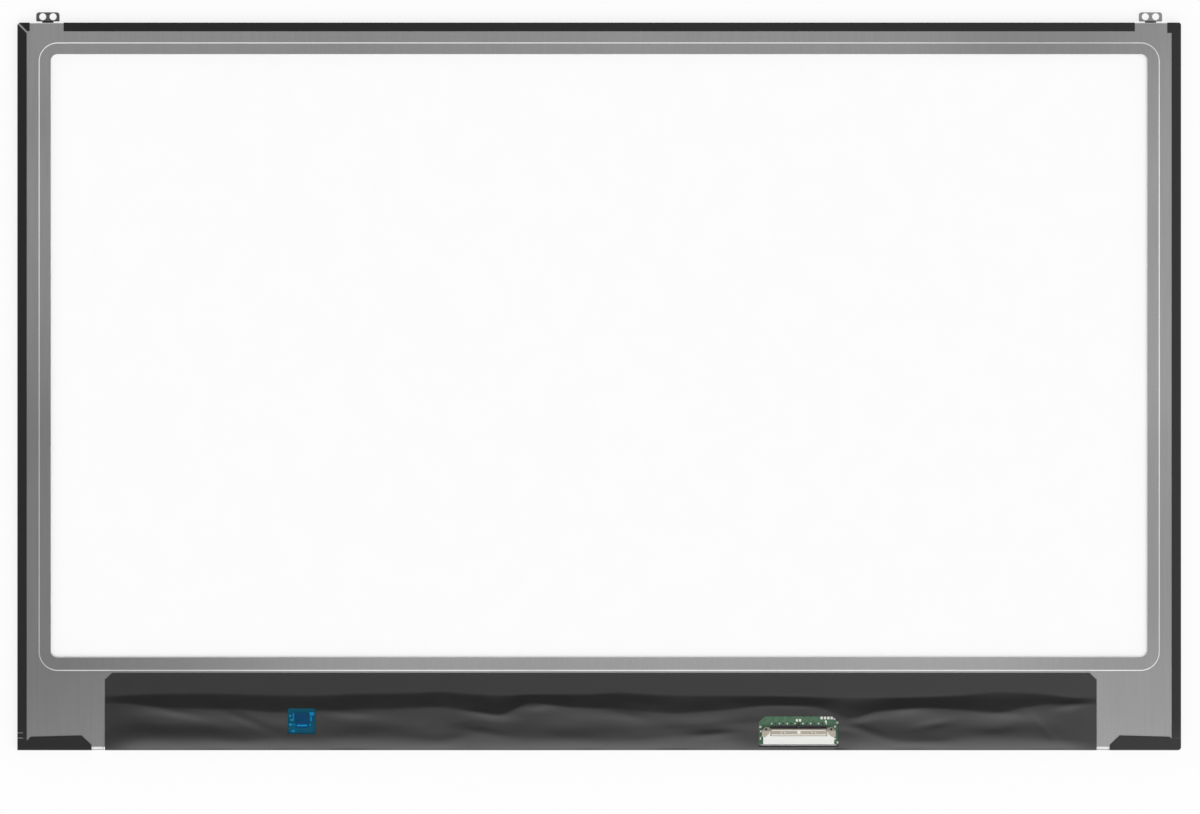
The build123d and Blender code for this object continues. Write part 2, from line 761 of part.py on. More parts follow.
with BuildPart() as connector_contacts:
    for index in range(connector_contacts_count):
        contact_x = connector_x - contact_span / 2 + index * contact_pitch - contact_width / 2
        contact_plane = Plane(origin=(contact_x, 0, 0), x_dir=(0, 1, 0), z_dir=(1, 0, 0))
        with BuildSketch(contact_plane):
            with BuildLine():
                Polyline(
                    (contact_front, slot_bottom),
                    (housing_rear, slot_bottom),
                    (housing_rear, board_back),
                    (tail_end, board_back),
                    (tail_end, board_back + contact_thickness),
                    (contact_step, board_back + contact_thickness),
                    (contact_step, slot_bottom + contact_thickness),
                    (contact_front, slot_bottom + contact_thickness),
                    close=True,
                )
            make_face()
        extrude(amount=contact_width)
connector_contacts.part.label = "connector_contacts"
export_step(connector_contacts.part, "parts/connector_contacts.step")

# Inspection window film: a blue sheet on top of the setting chip, lapped by the cover film
film_top = lip_lower - film_top_gap
rise_start = film_top - film_strip
plateau_start = rise_start - film_slope
inspection_top = plateau_start - inspection_top_drop - inspection_lap
inspection_y = inspection_top - inspection_height / 2

with BuildPart() as window_film:
    with BuildSketch(Plane.XY.offset(board_back + chip_height)):
        with Locations((inspection_x, inspection_y)):
            Rectangle(inspection_width + 2 * inspection_lap, inspection_height + 2 * inspection_lap)
    extrude(amount=window_film_thickness)
window_film.part.label = "window_film"
export_step(window_film.part, "parts/window_film.step")

# Cover film: one thin black sheet, stuck to the plate along a flat strip, tented over the board's
# components, bent down at the bottom edge and folded on to the front of the board. Its form is a
# loft through cross-sections along the board, and each section's height follows what lies under it
film_x = arm_inner + film_side_lap
film_left = film_shift - film_x
film_right = film_shift + film_x
wall_inner = film_bottom + film_thickness
fall_start = film_bottom + film_edge_fall
cut_out_x = cut_out_length / 2
cut_out_top = plateau_start - cut_out_top_drop
cut_out_bottom = film_bottom + cut_out_edge_strip
end_ramp = 12.0
connector_ramp = 9.0
left_slack_x = -104.0
right_slack_x = 116.0
bump_list = [
    (timing_x, 9.0, 0.16),
    (power_x, 5.0, 0.08),
    (light_x, 6.0, 0.06),
    (inspection_x, 7.0, 0.05),
    (coil_places[0], 7.0, 0.22),
    (coil_places[1], 7.0, 0.22),
    (coil_places[2], 9.0, 0.28),
    (left_slack_x, 9.0, 0.10),
    (right_slack_x, 7.0, 0.08),
]


def blend(value, start, end):
    """Rises smoothly from 0 at start to 1 at end."""
    share = min(max((value - start) / (end - start), 0), 1)
    return share * share * (3 - 2 * share)


def film_section(x):
    """The film's underside at x: points from the plate to the bottom bend, and the slope there."""
    lift = sum(height * exp(-(((x - place) / reach) ** 2)) for place, reach, height in bump_list)
    ends = blend(min(x - film_left, film_right - x), film_side_lap, end_ramp)
    mouth = 1 - blend(abs(x - connector_x), cut_out_x, cut_out_x + connector_ramp)
    stand_off = film_end_gap + ends * (film_stand_off + lift - film_end_gap)
    wave = ends * (1 - mouth) * film_wave * sin(2 * pi * x / film_wave_length)
    lip_level = board_back + film_lip_rise - plate_back
    edge_share = 1 - ends * (1 - film_edge_share)
    edge_level = (1 - mouth) * edge_share * stand_off + mouth * lip_level
    fall_level = (1 - mouth) * stand_off + mouth * (stand_off + lip_level) / 2
    edge_drop = film_end_drop + ends * (1 - mouth) * film_edge_drop + mouth * film_lip_drop
    slope = atan2(edge_drop, cut_out_bottom - wall_inner - bend_radius)
    bend_y = wall_inner + bend_radius * (1 - sin(slope))
    points = [
        (rise_start, plate_back),
        (rise_start - film_slope / 4, plate_back + film_rise_share * stand_off),
        (plateau_start + film_slope / 4, plate_back + (1 - film_rise_share) * stand_off),
        (plateau_start, plate_back + stand_off),
        ((plateau_start + fall_start) / 2, plate_back + stand_off + wave),
        (fall_start, plate_back + fall_level),
        (cut_out_bottom, plate_back + edge_level),
        (bend_y, plate_back + edge_level - edge_drop),
    ]
    return points, slope


def outer_face(points, slope):
    """The same points moved out by the film's thickness, square to the film."""
    moved = [(points[0][0], points[0][1] + film_thickness)]
    for before, here, after in zip(points, points[1:], points[2:]):
        angle = atan2(before[1] - after[1], before[0] - after[0])
        moved.append((here[0] - film_thickness * sin(angle), here[1] + film_thickness * cos(angle)))
    last_y, last_z = points[-1]
    moved.append((last_y - film_thickness * sin(slope), last_z + film_thickness * cos(slope)))
    return moved


station_count = round((film_right - film_left) / film_station_step)
stations = [film_left + (film_right - film_left) * i / station_count for i in range(station_count + 1)]

with BuildPart() as cover_film:
    for x in stations:
        under, slope = film_section(x)
        over = outer_face(under, slope)
        bend_centre = (wall_inner + bend_radius, under[-1][1] - bend_radius * cos(slope))
        half_way = (pi / 2 + slope + pi) / 2
        inner_middle = (
            bend_centre[0] + bend_radius * cos(half_way),
            bend_centre[1] + bend_radius * sin(half_way),
        )
        outer_middle = (
            bend_centre[0] + (bend_radius + film_thickness) * cos(half_way),
            bend_centre[1] + (bend_radius + film_thickness) * sin(half_way),
        )
        inner_wall = (wall_inner, bend_centre[1])
        outer_wall = (film_bottom, bend_centre[1])
        downhill = (-cos(slope), -sin(slope))
        leaving = (under[1][0] - under[0][0], under[1][1] - under[0][1])
        with BuildSketch(Plane(origin=(x, 0, 0), x_dir=(0, 1, 0), z_dir=(1, 0, 0))):
            with BuildLine():
                Line((film_top, plate_back), under[0])
                Spline(*under, tangents=(leaving, downhill))
                ThreePointArc(under[-1], inner_middle, inner_wall)
                Polyline(inner_wall, (wall_inner, board_front), (film_bottom, board_front), outer_wall)
                ThreePointArc(outer_wall, outer_middle, over[-1])
                Spline(*over, tangents=(leaving, downhill))
                Polyline(over[0], (film_top, plate_back + film_thickness), (film_top, plate_back))
            make_face()
    loft(ruled=True)
    with BuildSketch(Plane.XY.offset(board_front - film_thickness)):
        with Locations((0, film_bottom + film_flap / 2)):
            Rectangle(2 * (board_x - film_flap_end_gap), film_flap)
    extrude(amount=film_thickness)
    with BuildSketch(Plane.XY.offset(board_back)) as cut_outs:
        with Locations((inspection_x, inspection_y)):
            Rectangle(inspection_width, inspection_height)
        with Locations((connector_x, (cut_out_top + cut_out_bottom) / 2)):
            Rectangle(cut_out_length, cut_out_top - cut_out_bottom)
        chamfer(cut_outs.vertices().sort_by(Axis.X)[-4:].sort_by(Axis.Y)[-2:], length=cut_out_chamfer)
        with Locations((film_left, film_top), (film_right, film_top)):
            Rectangle(film_corner_chamfer * 2**0.5, film_corner_chamfer * 2**0.5, rotation=45)
    extrude(amount=plate_back - board_back + 2 * film_stand_off + coil_height, mode=Mode.SUBTRACT)
cover_film.part.label = "cover_film"
export_step(cover_film.part, "parts/cover_film.step")

# Tape core: what the tapes are wrapped round, with the plate's corner and bend radii
with BuildPart() as tape_core:
    with BuildSketch(Plane.XY.offset(glass_front)):
        Rectangle(2 * wall_x, 2 * wall_y)
    extrude(amount=plate_back - glass_front)
    core_top = tape_core.edges().filter_by(Axis.Z).group_by(Axis.Y)[-1]
    fillet(core_top, radius=tray_corner_radius)
    core_bottom = tape_core.edges().filter_by(Axis.Z).group_by(Axis.Y)[0].sort_by(Axis.X)
    fillet(core_bottom[-1], radius=bottom_tape_radius - tape_thickness)
    fillet(tape_core.faces().sort_by(Axis.Z)[-1].edges(), radius=bend_radius)

# Tape skin: the thin layer round the panel's sides, from the glass border over the plate's wall to
# the plate's back, out of which each edge and corner tape is cut
skin_front = glass_front - tape_thickness
skin_back = plate_back + tape_thickness

with BuildPart() as tape_skin:
    with BuildSketch(Plane.XY.offset(skin_front)):
        Rectangle(2 * half_width, 2 * half_height)
    extrude(amount=skin_back - skin_front)
    skin_top = tape_skin.edges().filter_by(Axis.Z).group_by(Axis.Y)[-1]
    fillet(skin_top, radius=tray_corner_radius + tape_thickness)
    skin_bottom = tape_skin.edges().filter_by(Axis.Z).group_by(Axis.Y)[0].sort_by(Axis.X)
    fillet(skin_bottom[-1], radius=bottom_tape_radius)
    fillet(tape_skin.faces().sort_by(Axis.Z)[-1].edges(), radius=bend_radius + tape_thickness)
    add(tape_core.part, mode=Mode.SUBTRACT)
    with BuildSketch(Plane.XY.offset(skin_front)):
        with Locations((0, (polariser_top + polariser_bottom) / 2)):
            Rectangle(
                2 * (polariser_x + polariser_clearance),
                polariser_top - polariser_bottom + 2 * polariser_clearance,
            )
    extrude(amount=tape_thickness, mode=Mode.SUBTRACT)

tape_depth = skin_back - skin_front
seam_y = -half_height + bottom_tape_seam


def bottom_corner_outline(side, length, notch):
    """Outline of a bottom corner tape on the left (side -1) or right (side 1)."""
    inner = half_width - side_tape_width
    shoulder = inner - notch
    end = half_width - length
    height = -half_height + bottom_tape_height
    return [
        (side * half_width, -half_height),
        (side * end, -half_height),
        (side * end, -half_height + bottom_tape_end_rise),
        (side * (end + bottom_tape_chamfer), height),
        (side * shoulder, height - bottom_tape_slant),
        (side * inner, height - bottom_tape_slant - notch),
        (side * inner, seam_y - seam_gap),
        (side * half_width, seam_y - seam_gap),
    ]


mitre_run = mitre_gap / 2**0.5
left_inner = side_tape_width - half_width
right_inner = half_width - side_tape_width
tape_outlines = [
    (
        "left_edge_tape",
        [
            (-half_width, seam_y),
            (left_inner, seam_y),
            (left_inner, half_height - side_tape_width - mitre_run),
            (-half_width, half_height - mitre_run),
        ],
    ),
    (
        "top_left_corner_tape",
        [
            (mitre_run - half_width, half_height),
            (top_left_width + mitre_run - half_width, half_height - top_left_width),
            (top_left_length - half_width, half_height - top_left_width),
            (top_left_length - half_width, half_height),
        ],
    ),
    (
        "top_edge_tape",
        [
            (top_tape_end_gap - half_width, half_height - top_tape_width),
            (half_width - top_tape_end_gap, half_height - top_tape_width),
            (half_width - top_tape_end_gap, half_height),
            (top_tape_end_gap - half_width, half_height),
        ],
    ),
    (
        "right_edge_tape",
        [
            (half_width, seam_y),
            (half_width, half_height),
            (half_width - top_right_length, half_height),
            (half_width - top_right_length, half_height - top_right_width),
            (right_inner, half_height - top_right_width),
            (right_inner, seam_y),
        ],
    ),
    ("bottom_left_corner_tape", bottom_corner_outline(-1, bottom_left_length, bottom_tape_notch)),
    ("bottom_right_corner_tape", bottom_corner_outline(1, bottom_right_length, bottom_tape_notch / 2)),
]
for tape_name, tape_outline in tape_outlines:
    with BuildPart() as tape:
        with BuildSketch(Plane.XY.offset(skin_front)):
            with BuildLine():
                Polyline(*tape_outline, close=True)
            make_face()
        extrude(amount=tape_depth)
        add(tape_skin.part, mode=Mode.INTERSECT)
    tape.part.label = tape_name
    export_step(tape.part, f"parts/{tape_name}.step")
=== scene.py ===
import math

import bpy
import numpy as np
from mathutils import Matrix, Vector, noise


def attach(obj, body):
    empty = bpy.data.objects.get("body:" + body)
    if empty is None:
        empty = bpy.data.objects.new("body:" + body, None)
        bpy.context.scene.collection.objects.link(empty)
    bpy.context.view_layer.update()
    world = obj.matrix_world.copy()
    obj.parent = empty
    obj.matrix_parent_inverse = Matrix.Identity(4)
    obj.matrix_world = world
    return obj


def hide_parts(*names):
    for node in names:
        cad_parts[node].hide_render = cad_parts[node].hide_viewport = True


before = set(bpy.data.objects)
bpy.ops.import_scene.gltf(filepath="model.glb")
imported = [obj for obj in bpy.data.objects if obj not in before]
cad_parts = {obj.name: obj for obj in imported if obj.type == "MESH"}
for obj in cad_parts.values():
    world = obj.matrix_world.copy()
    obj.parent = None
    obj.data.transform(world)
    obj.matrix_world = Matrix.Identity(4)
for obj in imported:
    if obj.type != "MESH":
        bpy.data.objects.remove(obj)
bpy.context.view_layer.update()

# Liquid-crystal cell: two thinned glass panes with a glossy polariser film laminated on each side.
# It is the picture face that the panel lies on, and it is black because no light comes through it.


def linear(code):
    """An sRGB hex colour as the linear colour that a shader takes."""
    parts = [int(code[i : i + 2], 16) / 255 for i in (1, 3, 5)]
    return [p / 12.92 if p <= 0.04045 else ((p + 0.055) / 1.055) ** 2.4 for p in parts] + [1]


def add_node(tree, kind, sockets=None, **settings):
    """Adds a node with its settings. sockets gives each input a value or the output that feeds it."""
    node = tree.nodes.new(kind)
    for name, value in settings.items():
        setattr(node, name, value)
    for name, value in (sockets or {}).items():
        if isinstance(value, bpy.types.NodeSocket):
            tree.links.new(value, node.inputs[name])
        else:
            node.inputs[name].default_value = value
    return node


def start_material(name, **sockets):
    """A new material with its shader's plain values set, as (material, node tree, shader)."""
    material = bpy.data.materials.new(name)
    material.use_nodes = True
    tree = material.node_tree
    shader = tree.nodes["Principled BSDF"]
    for socket, value in sockets.items():
        shader.inputs[socket.replace("_", " ")].default_value = value
    return material, tree, shader


def dress(material, *nodes):
    """Puts a material on CAD nodes, in every slot that they have."""
    for name in nodes:
        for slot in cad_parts[name].material_slots:
            slot.material = material


def per_metre(size):
    """How many patches of a size in millimetres lie along a metre, which is a pattern's Scale."""
    return 1000 / size


# Polariser: stretched film under a hard clear coat, so it mirrors cleanly with a faint blue cast.
# The cloudy patches of haze are some 20 mm across.
polariser, tree, shader = start_material(
    "polariser film hard coated", IOR=1.49, Coat_Weight=0.4, Coat_Roughness=0.05
)
place = add_node(tree, "ShaderNodeTexCoord")
haze = add_node(
    tree, "ShaderNodeTexNoise",
    {"Vector": place.outputs["Object"], "Scale": per_metre(20), "Detail": 3.0},
)
tint = add_node(tree, "ShaderNodeValToRGB", {"Fac": haze.outputs["Fac"]})
tint.color_ramp.elements[0].color = linear("#0B0C10")
tint.color_ramp.elements[1].color = linear("#12131A")
dull = add_node(
    tree, "ShaderNodeMapRange", {"Value": haze.outputs["Fac"], "To Min": 0.10, "To Max": 0.20}
)
tree.links.new(tint.outputs["Color"], shader.inputs["Base Color"])
tree.links.new(dull.outputs["Result"], shader.inputs["Roughness"])
dress(polariser, "front_polariser", "rear_polariser")

# Cell glass: its flat faces carry the black border coat, its cut edges show green. Normals decide
# which, and the scribed edges are broken up by chips of about 0.3 mm.
cell_glass, tree, shader = start_material("thinned glass with black border coat", IOR=1.52)
place = add_node(tree, "ShaderNodeTexCoord")
facing = add_node(tree, "ShaderNodeSeparateXYZ", {"Vector": place.outputs["Normal"]})
upright = add_node(tree, "ShaderNodeMath", {0: facing.outputs["Z"]}, operation="ABSOLUTE")
edge_tint = add_node(tree, "ShaderNodeValToRGB", {"Fac": upright.outputs["Value"]})
edge_tint.color_ramp.elements[0].color = linear("#7FA79B")
edge_tint.color_ramp.elements[1].color = linear("#0E1011")
chips = add_node(
    tree, "ShaderNodeTexNoise", {"Vector": place.outputs["Object"], "Scale": per_metre(0.3)}
)
grind = add_node(
    tree, "ShaderNodeMapRange", {"Value": chips.outputs["Fac"], "To Min": 0.08, "To Max": 0.24}
)
tree.links.new(edge_tint.outputs["Color"], shader.inputs["Base Color"])
tree.links.new(grind.outputs["Result"], shader.inputs["Roughness"])
dress(cell_glass, "colour_filter_glass", "array_glass")

# Mould frame: one ring injection moulded in white polycarbonate, which carries the cell, the sheets
# and the board. It shows at the lower corners as a white strip under the plate's edge.
moulding, tree, shader = start_material(
    "white polycarbonate moulded",
    IOR=1.58, Subsurface_Weight=0.1, Subsurface_Radius=(0.001, 0.001, 0.0008),
)
place = add_node(tree, "ShaderNodeTexCoord")
# Spark-eroded mould texture, grit of about 0.15 mm and 0.02 mm deep.
grit_depth = 0.02
grit = add_node(
    tree, "ShaderNodeTexNoise",
    {"Vector": place.outputs["Object"], "Scale": per_metre(0.15), "Detail": 4.0},
)
shade = add_node(tree, "ShaderNodeValToRGB", {"Fac": grit.outputs["Fac"]})
shade.color_ramp.elements[0].color = linear("#E6E6E4")
shade.color_ramp.elements[1].color = linear("#F5F5F3")
sheen = add_node(
    tree, "ShaderNodeMapRange", {"Value": grit.outputs["Fac"], "To Min": 0.38, "To Max": 0.55}
)
relief = add_node(
    tree, "ShaderNodeBump",
    {"Height": grit.outputs["Fac"], "Strength": 0.25, "Distance": grit_depth / 1000},
)
# A grey line of painted shade runs along the bottom edge, below this Y in millimetres.
edge_shade_y = -98.4
spot = add_node(tree, "ShaderNodeSeparateXYZ", {"Vector": place.outputs["Object"]})
edge_shaded = add_node(
    tree, "ShaderNodeMath", {0: spot.outputs["Y"], 1: edge_shade_y / 1000}, operation="LESS_THAN"
)
# A Mix node has one A, B and Result for each kind of value, so those for colours go by number.
mix_share, mix_a, mix_b, mix_result = 0, 6, 7, 2
tone = add_node(
    tree, "ShaderNodeMix",
    {mix_share: edge_shaded.outputs["Value"], mix_a: shade.outputs["Color"], mix_b: linear("#8E8E8C")},
    data_type="RGBA",
)
tree.links.new(tone.outputs[mix_result], shader.inputs["Base Color"])
tree.links.new(sheen.outputs["Result"], shader.inputs["Roughness"])
tree.links.new(relief.outputs["Normal"], shader.inputs["Normal"])
dress(moulding, "mould_frame")

# Rim tape: a die-cut ring of black double-sided tape that holds the cell on the frame. Its foam
# carrier is dull, with a mottle of 0.5 mm.
rim_black, tree, shader = start_material(
    "black double sided tape", IOR=1.47, Specular_IOR_Level=0.25
)
place = add_node(tree, "ShaderNodeTexCoord")
fibre = add_node(
    tree, "ShaderNodeTexNoise",
    {"Vector": place.outputs["Object"], "Scale": per_metre(0.5), "Detail": 3.0},
)
shade = add_node(tree, "ShaderNodeValToRGB", {"Fac": fibre.outputs["Fac"]})
shade.color_ramp.elements[0].color = linear("#0A0A0A")
shade.color_ramp.elements[1].color = linear("#141414")
dull = add_node(
    tree, "ShaderNodeMapRange", {"Value": fibre.outputs["Fac"], "To Min": 0.5, "To Max": 0.7}
)
tree.links.new(shade.outputs["Color"], shader.inputs["Base Color"])
tree.links.new(dull.outputs["Result"], shader.inputs["Roughness"])
dress(rim_black, "rim_tape")

# Optical sheets: polyester films embossed with fine prisms, and a beaded diffuser under them. The
# prisms are 0.05 mm apart, which is drawn at 0.5 mm so that it can show.


def band_scale(pitch):
    """The Scale of a wave texture whose bands are a pitch in millimetres apart."""
    return 2 * math.pi / 20 * per_metre(pitch)


prism_pitch = 0.5
optical_film, tree, shader = start_material("embossed polyester prism film", IOR=1.58)
place = add_node(tree, "ShaderNodeTexCoord")
prisms = add_node(
    tree, "ShaderNodeTexWave", {"Vector": place.outputs["Object"], "Scale": band_scale(prism_pitch)}
)
shade = add_node(tree, "ShaderNodeValToRGB", {"Fac": prisms.outputs["Fac"]})
shade.color_ramp.elements[0].color = linear("#DDE2E2")
shade.color_ramp.elements[1].color = linear("#F2F5F5")
gloss = add_node(
    tree, "ShaderNodeMapRange", {"Value": prisms.outputs["Fac"], "To Min": 0.2, "To Max": 0.4}
)
tree.links.new(shade.outputs["Color"], shader.inputs["Base Color"])
tree.links.new(gloss.outputs["Result"], shader.inputs["Roughness"])
dress(optical_film, "upper_prism_sheet", "lower_prism_sheet", "diffuser_sheet")

# Light guide: a clear acrylic plate, moulded and polished at its edges, with rows of tiny dots on
# its back that turn the light out. The dots sit 1.2 mm apart.
acrylic, tree, shader = start_material("clear moulded acrylic", IOR=1.49, Roughness=0.08)
place = add_node(tree, "ShaderNodeTexCoord")
dots = add_node(
    tree, "ShaderNodeTexVoronoi",
    {"Vector": place.outputs["Object"], "Scale": per_metre(1.2), "Randomness": 0.0},
)
shade = add_node(tree, "ShaderNodeValToRGB", {"Fac": dots.outputs["Distance"]})
shade.color_ramp.elements[0].color = linear("#FFFFFF")
shade.color_ramp.elements[1].position = 0.3
shade.color_ramp.elements[1].color = linear("#DCE8E8")
tree.links.new(shade.outputs["Color"], shader.inputs["Base Color"])
dress(acrylic, "light_guide")

# Light bar: white-cased LEDs with yellow phosphor faces, soldered on a strip of amber flexible
# circuit that lies along the lower edge of the light guide.
led_package, tree, shader = start_material("white led case with phosphor", IOR=1.5, Roughness=0.45)
place = add_node(tree, "ShaderNodeTexCoord")
facing = add_node(tree, "ShaderNodeSeparateXYZ", {"Vector": place.outputs["Normal"]})
shade = add_node(tree, "ShaderNodeValToRGB", {"Fac": facing.outputs["Y"]})
shade.color_ramp.elements[0].position = 0.5
shade.color_ramp.elements[0].color = linear("#EFEDE4")
shade.color_ramp.elements[1].color = linear("#E3C63A")
tree.links.new(shade.outputs["Color"], shader.inputs["Base Color"])
dress(led_package, "leds")

# Flexible circuit: polyimide film over copper lines. The lines are 0.4 mm apart on the light bar
# and on the source films alike, and run along Y, from the glass to the board.
line_pitch = 0.4
amber_flex, tree, shader = start_material("polyimide flexible circuit", IOR=1.7, Coat_Weight=0.3)
place = add_node(tree, "ShaderNodeTexCoord")
lines = add_node(
    tree, "ShaderNodeTexWave", {"Vector": place.outputs["Object"], "Scale": band_scale(line_pitch)}
)
shade = add_node(tree, "ShaderNodeValToRGB", {"Fac": lines.outputs["Fac"]})
shade.color_ramp.elements[0].color = linear("#8A5A1E")
shade.color_ramp.elements[1].color = linear("#C98A3A")
gloss = add_node(
    tree, "ShaderNodeMapRange", {"Value": lines.outputs["Fac"], "To Min": 0.22, "To Max": 0.38}
)
tree.links.new(shade.outputs["Color"], shader.inputs["Base Color"])
tree.links.new(gloss.outputs["Result"], shader.inputs["Roughness"])
dress(amber_flex, "led_flex", *[f"source_film_{i}" for i in (1, 2, 3, 4)])

# Driver chips: bare slivers of silicon bonded on the source films. Their ground back has marks
# along the chip, 0.1 mm apart and 20 times as long.
mark_width, mark_length = 0.1, 2.0
silicon, tree, shader = start_material("ground silicon", Metallic=0.6)
place = add_node(tree, "ShaderNodeTexCoord")
stretch = add_node(
    tree, "ShaderNodeMapping",
    {"Vector": place.outputs["Object"], "Scale": (mark_width / mark_length, 1.0, 1.0)},
)
marks = add_node(
    tree, "ShaderNodeTexNoise", {"Vector": stretch.outputs["Vector"], "Scale": per_metre(mark_width)}
)
shade = add_node(tree, "ShaderNodeValToRGB", {"Fac": marks.outputs["Fac"]})
shade.color_ramp.elements[0].color = linear("#3A3B40")
shade.color_ramp.elements[1].color = linear("#5C5D64")
gloss = add_node(
    tree, "ShaderNodeMapRange", {"Value": marks.outputs["Fac"], "To Min": 0.2, "To Max": 0.35}
)
tree.links.new(shade.outputs["Color"], shader.inputs["Base Color"])
tree.links.new(gloss.outputs["Result"], shader.inputs["Roughness"])
dress(silicon, *[f"driver_chip_{i}" for i in (1, 2, 3, 4)])

# Reflector sheet: a white foamed polyester sheet behind the light guide, the large white field in
# the plate's window. It is dead matt and even.
reflector, tree, shader = start_material("white foamed polyester", IOR=1.4, Specular_IOR_Level=0.3)
place = add_node(tree, "ShaderNodeTexCoord")
# The foam's cells give a barely seen mottle of about 8 mm.
mottle = add_node(
    tree, "ShaderNodeTexNoise",
    {"Vector": place.outputs["Object"], "Scale": per_metre(8), "Detail": 2.0},
)
shade = add_node(tree, "ShaderNodeValToRGB", {"Fac": mottle.outputs["Fac"]})
shade.color_ramp.elements[0].color = linear("#FDFDFD")
shade.color_ramp.elements[1].color = linear("#FFFFFF")
dull = add_node(
    tree, "ShaderNodeMapRange", {"Value": mottle.outputs["Fac"], "To Min": 0.72, "To Max": 0.82}
)
tree.links.new(shade.outputs["Color"], shader.inputs["Base Color"])
tree.links.new(dull.outputs["Result"], shader.inputs["Roughness"])
dress(reflector, "reflector_sheet")

# Back plate: a tray stamped from thin rolled steel sheet. Rolling leaves faint streaks, and painted
# shade darkens the ears and their necks, bent out of its top wall, and soft patches of the flat.
plate_steel, tree, shader = start_material("rolled steel sheet", Metallic=1.0)
place = add_node(tree, "ShaderNodeTexCoord")
spot = add_node(tree, "ShaderNodeSeparateXYZ", {"Vector": place.outputs["Object"]})
# Rolling streaks 0.4 mm wide and some 16 mm long, along Y.
streak_width, streak_length = 0.4, 16.0
rolled = add_node(
    tree, "ShaderNodeMapping",
    {"Vector": place.outputs["Object"], "Scale": (1.0, streak_width / streak_length, 1.0)},
)
streaks = add_node(
    tree, "ShaderNodeTexNoise",
    {"Vector": rolled.outputs["Vector"], "Scale": per_metre(streak_width), "Detail": 3.0},
)
# Slow clouds of the skin-passed surface, some 60 mm across.
clouds = add_node(
    tree, "ShaderNodeTexNoise",
    {"Vector": place.outputs["Object"], "Scale": per_metre(62.5), "Detail": 2.0},
)
even = add_node(
    tree, "ShaderNodeMix",
    {"Factor": 0.6, "A": streaks.outputs["Fac"], "B": clouds.outputs["Fac"]},
)
shade = add_node(tree, "ShaderNodeValToRGB", {"Fac": even.outputs["Result"]})
shade.color_ramp.elements[0].position = 0.3
shade.color_ramp.elements[0].color = linear("#A3A3A3")
shade.color_ramp.elements[1].position = 0.7
shade.color_ramp.elements[1].color = linear("#AFAFAF")
# Soft patches of painted shade, where the light on the sheet is weaker, at the lower left of the
# window, at the top right and at the lower right: the middle, the radii between which the shade fades,
# in millimetres, and its level.
painted_shade = 1.0
for middle, full_radius, clear_radius, patch_level in [
    ((-165, -50, 2), 30, 110, 0.66),
    ((125, 100, 2), 10, 50, 0.80),
    ((165, -60, 2), 10, 70, 0.80),
]:
    away = add_node(
        tree, "ShaderNodeVectorMath",
        {0: place.outputs["Object"], 1: Vector(middle) / 1000},
        operation="DISTANCE",
    )
    shade_patch = add_node(
        tree, "ShaderNodeMapRange",
        {
            "Value": away.outputs["Value"],
            "From Min": full_radius / 1000, "From Max": clear_radius / 1000,
            "To Min": patch_level, "To Max": 1.0,
        },
        interpolation_type="SMOOTHSTEP",
    )
    painted_shade = add_node(
        tree, "ShaderNodeMath", {0: painted_shade, 1: shade_patch.outputs["Result"]}, operation="MULTIPLY"
    ).outputs["Value"]
# Above the plate's edge come the necks and then the ears; painted shade darkens both necks and the
# whole left ear. These are their levels of Y in millimetres.
plate_edge, dark_ear_from, neck_to, ear_from = 98.68, 98.80, 99.15, 99.35
neck_shade, dark_ear_shade = 0.35, 0.36
left = add_node(tree, "ShaderNodeMath", {0: spot.outputs["X"], 1: 0.0}, operation="LESS_THAN")
high = add_node(
    tree, "ShaderNodeMath", {0: spot.outputs["Y"], 1: dark_ear_from / 1000}, operation="GREATER_THAN"
)
dark_ear = add_node(
    tree, "ShaderNodeMath", {0: left.outputs["Value"], 1: high.outputs["Value"]}, operation="MULTIPLY"
)
ear_shade = add_node(
    tree, "ShaderNodeMapRange",
    {"Value": dark_ear.outputs["Value"], "To Min": 1.0, "To Max": dark_ear_shade},
)
above = add_node(
    tree, "ShaderNodeMapRange",
    {
        "Value": spot.outputs["Y"],
        "From Min": neck_to / 1000, "From Max": ear_from / 1000,
        "To Min": neck_shade, "To Max": 1.0,
    },
)
below = add_node(
    tree, "ShaderNodeMath", {0: spot.outputs["Y"], 1: plate_edge / 1000}, operation="LESS_THAN"
)
neck_painted_shade = add_node(
    tree, "ShaderNodeMath", {0: above.outputs["Result"], 1: below.outputs["Value"]}, operation="MAXIMUM"
)
for share in (ear_shade.outputs["Result"], neck_painted_shade.outputs["Value"]):
    painted_shade = add_node(
        tree, "ShaderNodeMath", {0: painted_shade, 1: share}, operation="MULTIPLY"
    ).outputs["Value"]
# What the die draws, the raised step and the rims, where the sheet is not level, is paler and smoother:
# partly burnished by the die, partly a painted highlight that makes the step's line shine. The Z of the
# normal tells the level sheet from the drawn one.
level_z, drawn_z, drawn_roughness = 0.97, 0.85, 0.3
facing = add_node(tree, "ShaderNodeNewGeometry")
level = add_node(tree, "ShaderNodeSeparateXYZ", {"Vector": facing.outputs["Normal"]})
drawn = add_node(
    tree, "ShaderNodeMapRange", {"Value": level.outputs["Z"], "From Min": level_z, "From Max": drawn_z}
)
tone = add_node(
    tree, "ShaderNodeMix",
    {mix_share: drawn.outputs["Result"], mix_a: shade.outputs["Color"], mix_b: linear("#E4E4E4")},
    data_type="RGBA",
)
skin = add_node(
    tree, "ShaderNodeVectorMath", {0: tone.outputs[mix_result], "Scale": painted_shade}, operation="SCALE"
)
rubbed = add_node(
    tree, "ShaderNodeMapRange", {"Value": streaks.outputs["Fac"], "To Min": 0.44, "To Max": 0.52}
)
gloss = add_node(
    tree, "ShaderNodeMix",
    {"Factor": drawn.outputs["Result"], "A": rubbed.outputs["Result"], "B": drawn_roughness},
)
tree.links.new(skin.outputs["Vector"], shader.inputs["Base Color"])
tree.links.new(gloss.outputs["Result"], shader.inputs["Roughness"])
dress(plate_steel, "back_plate")

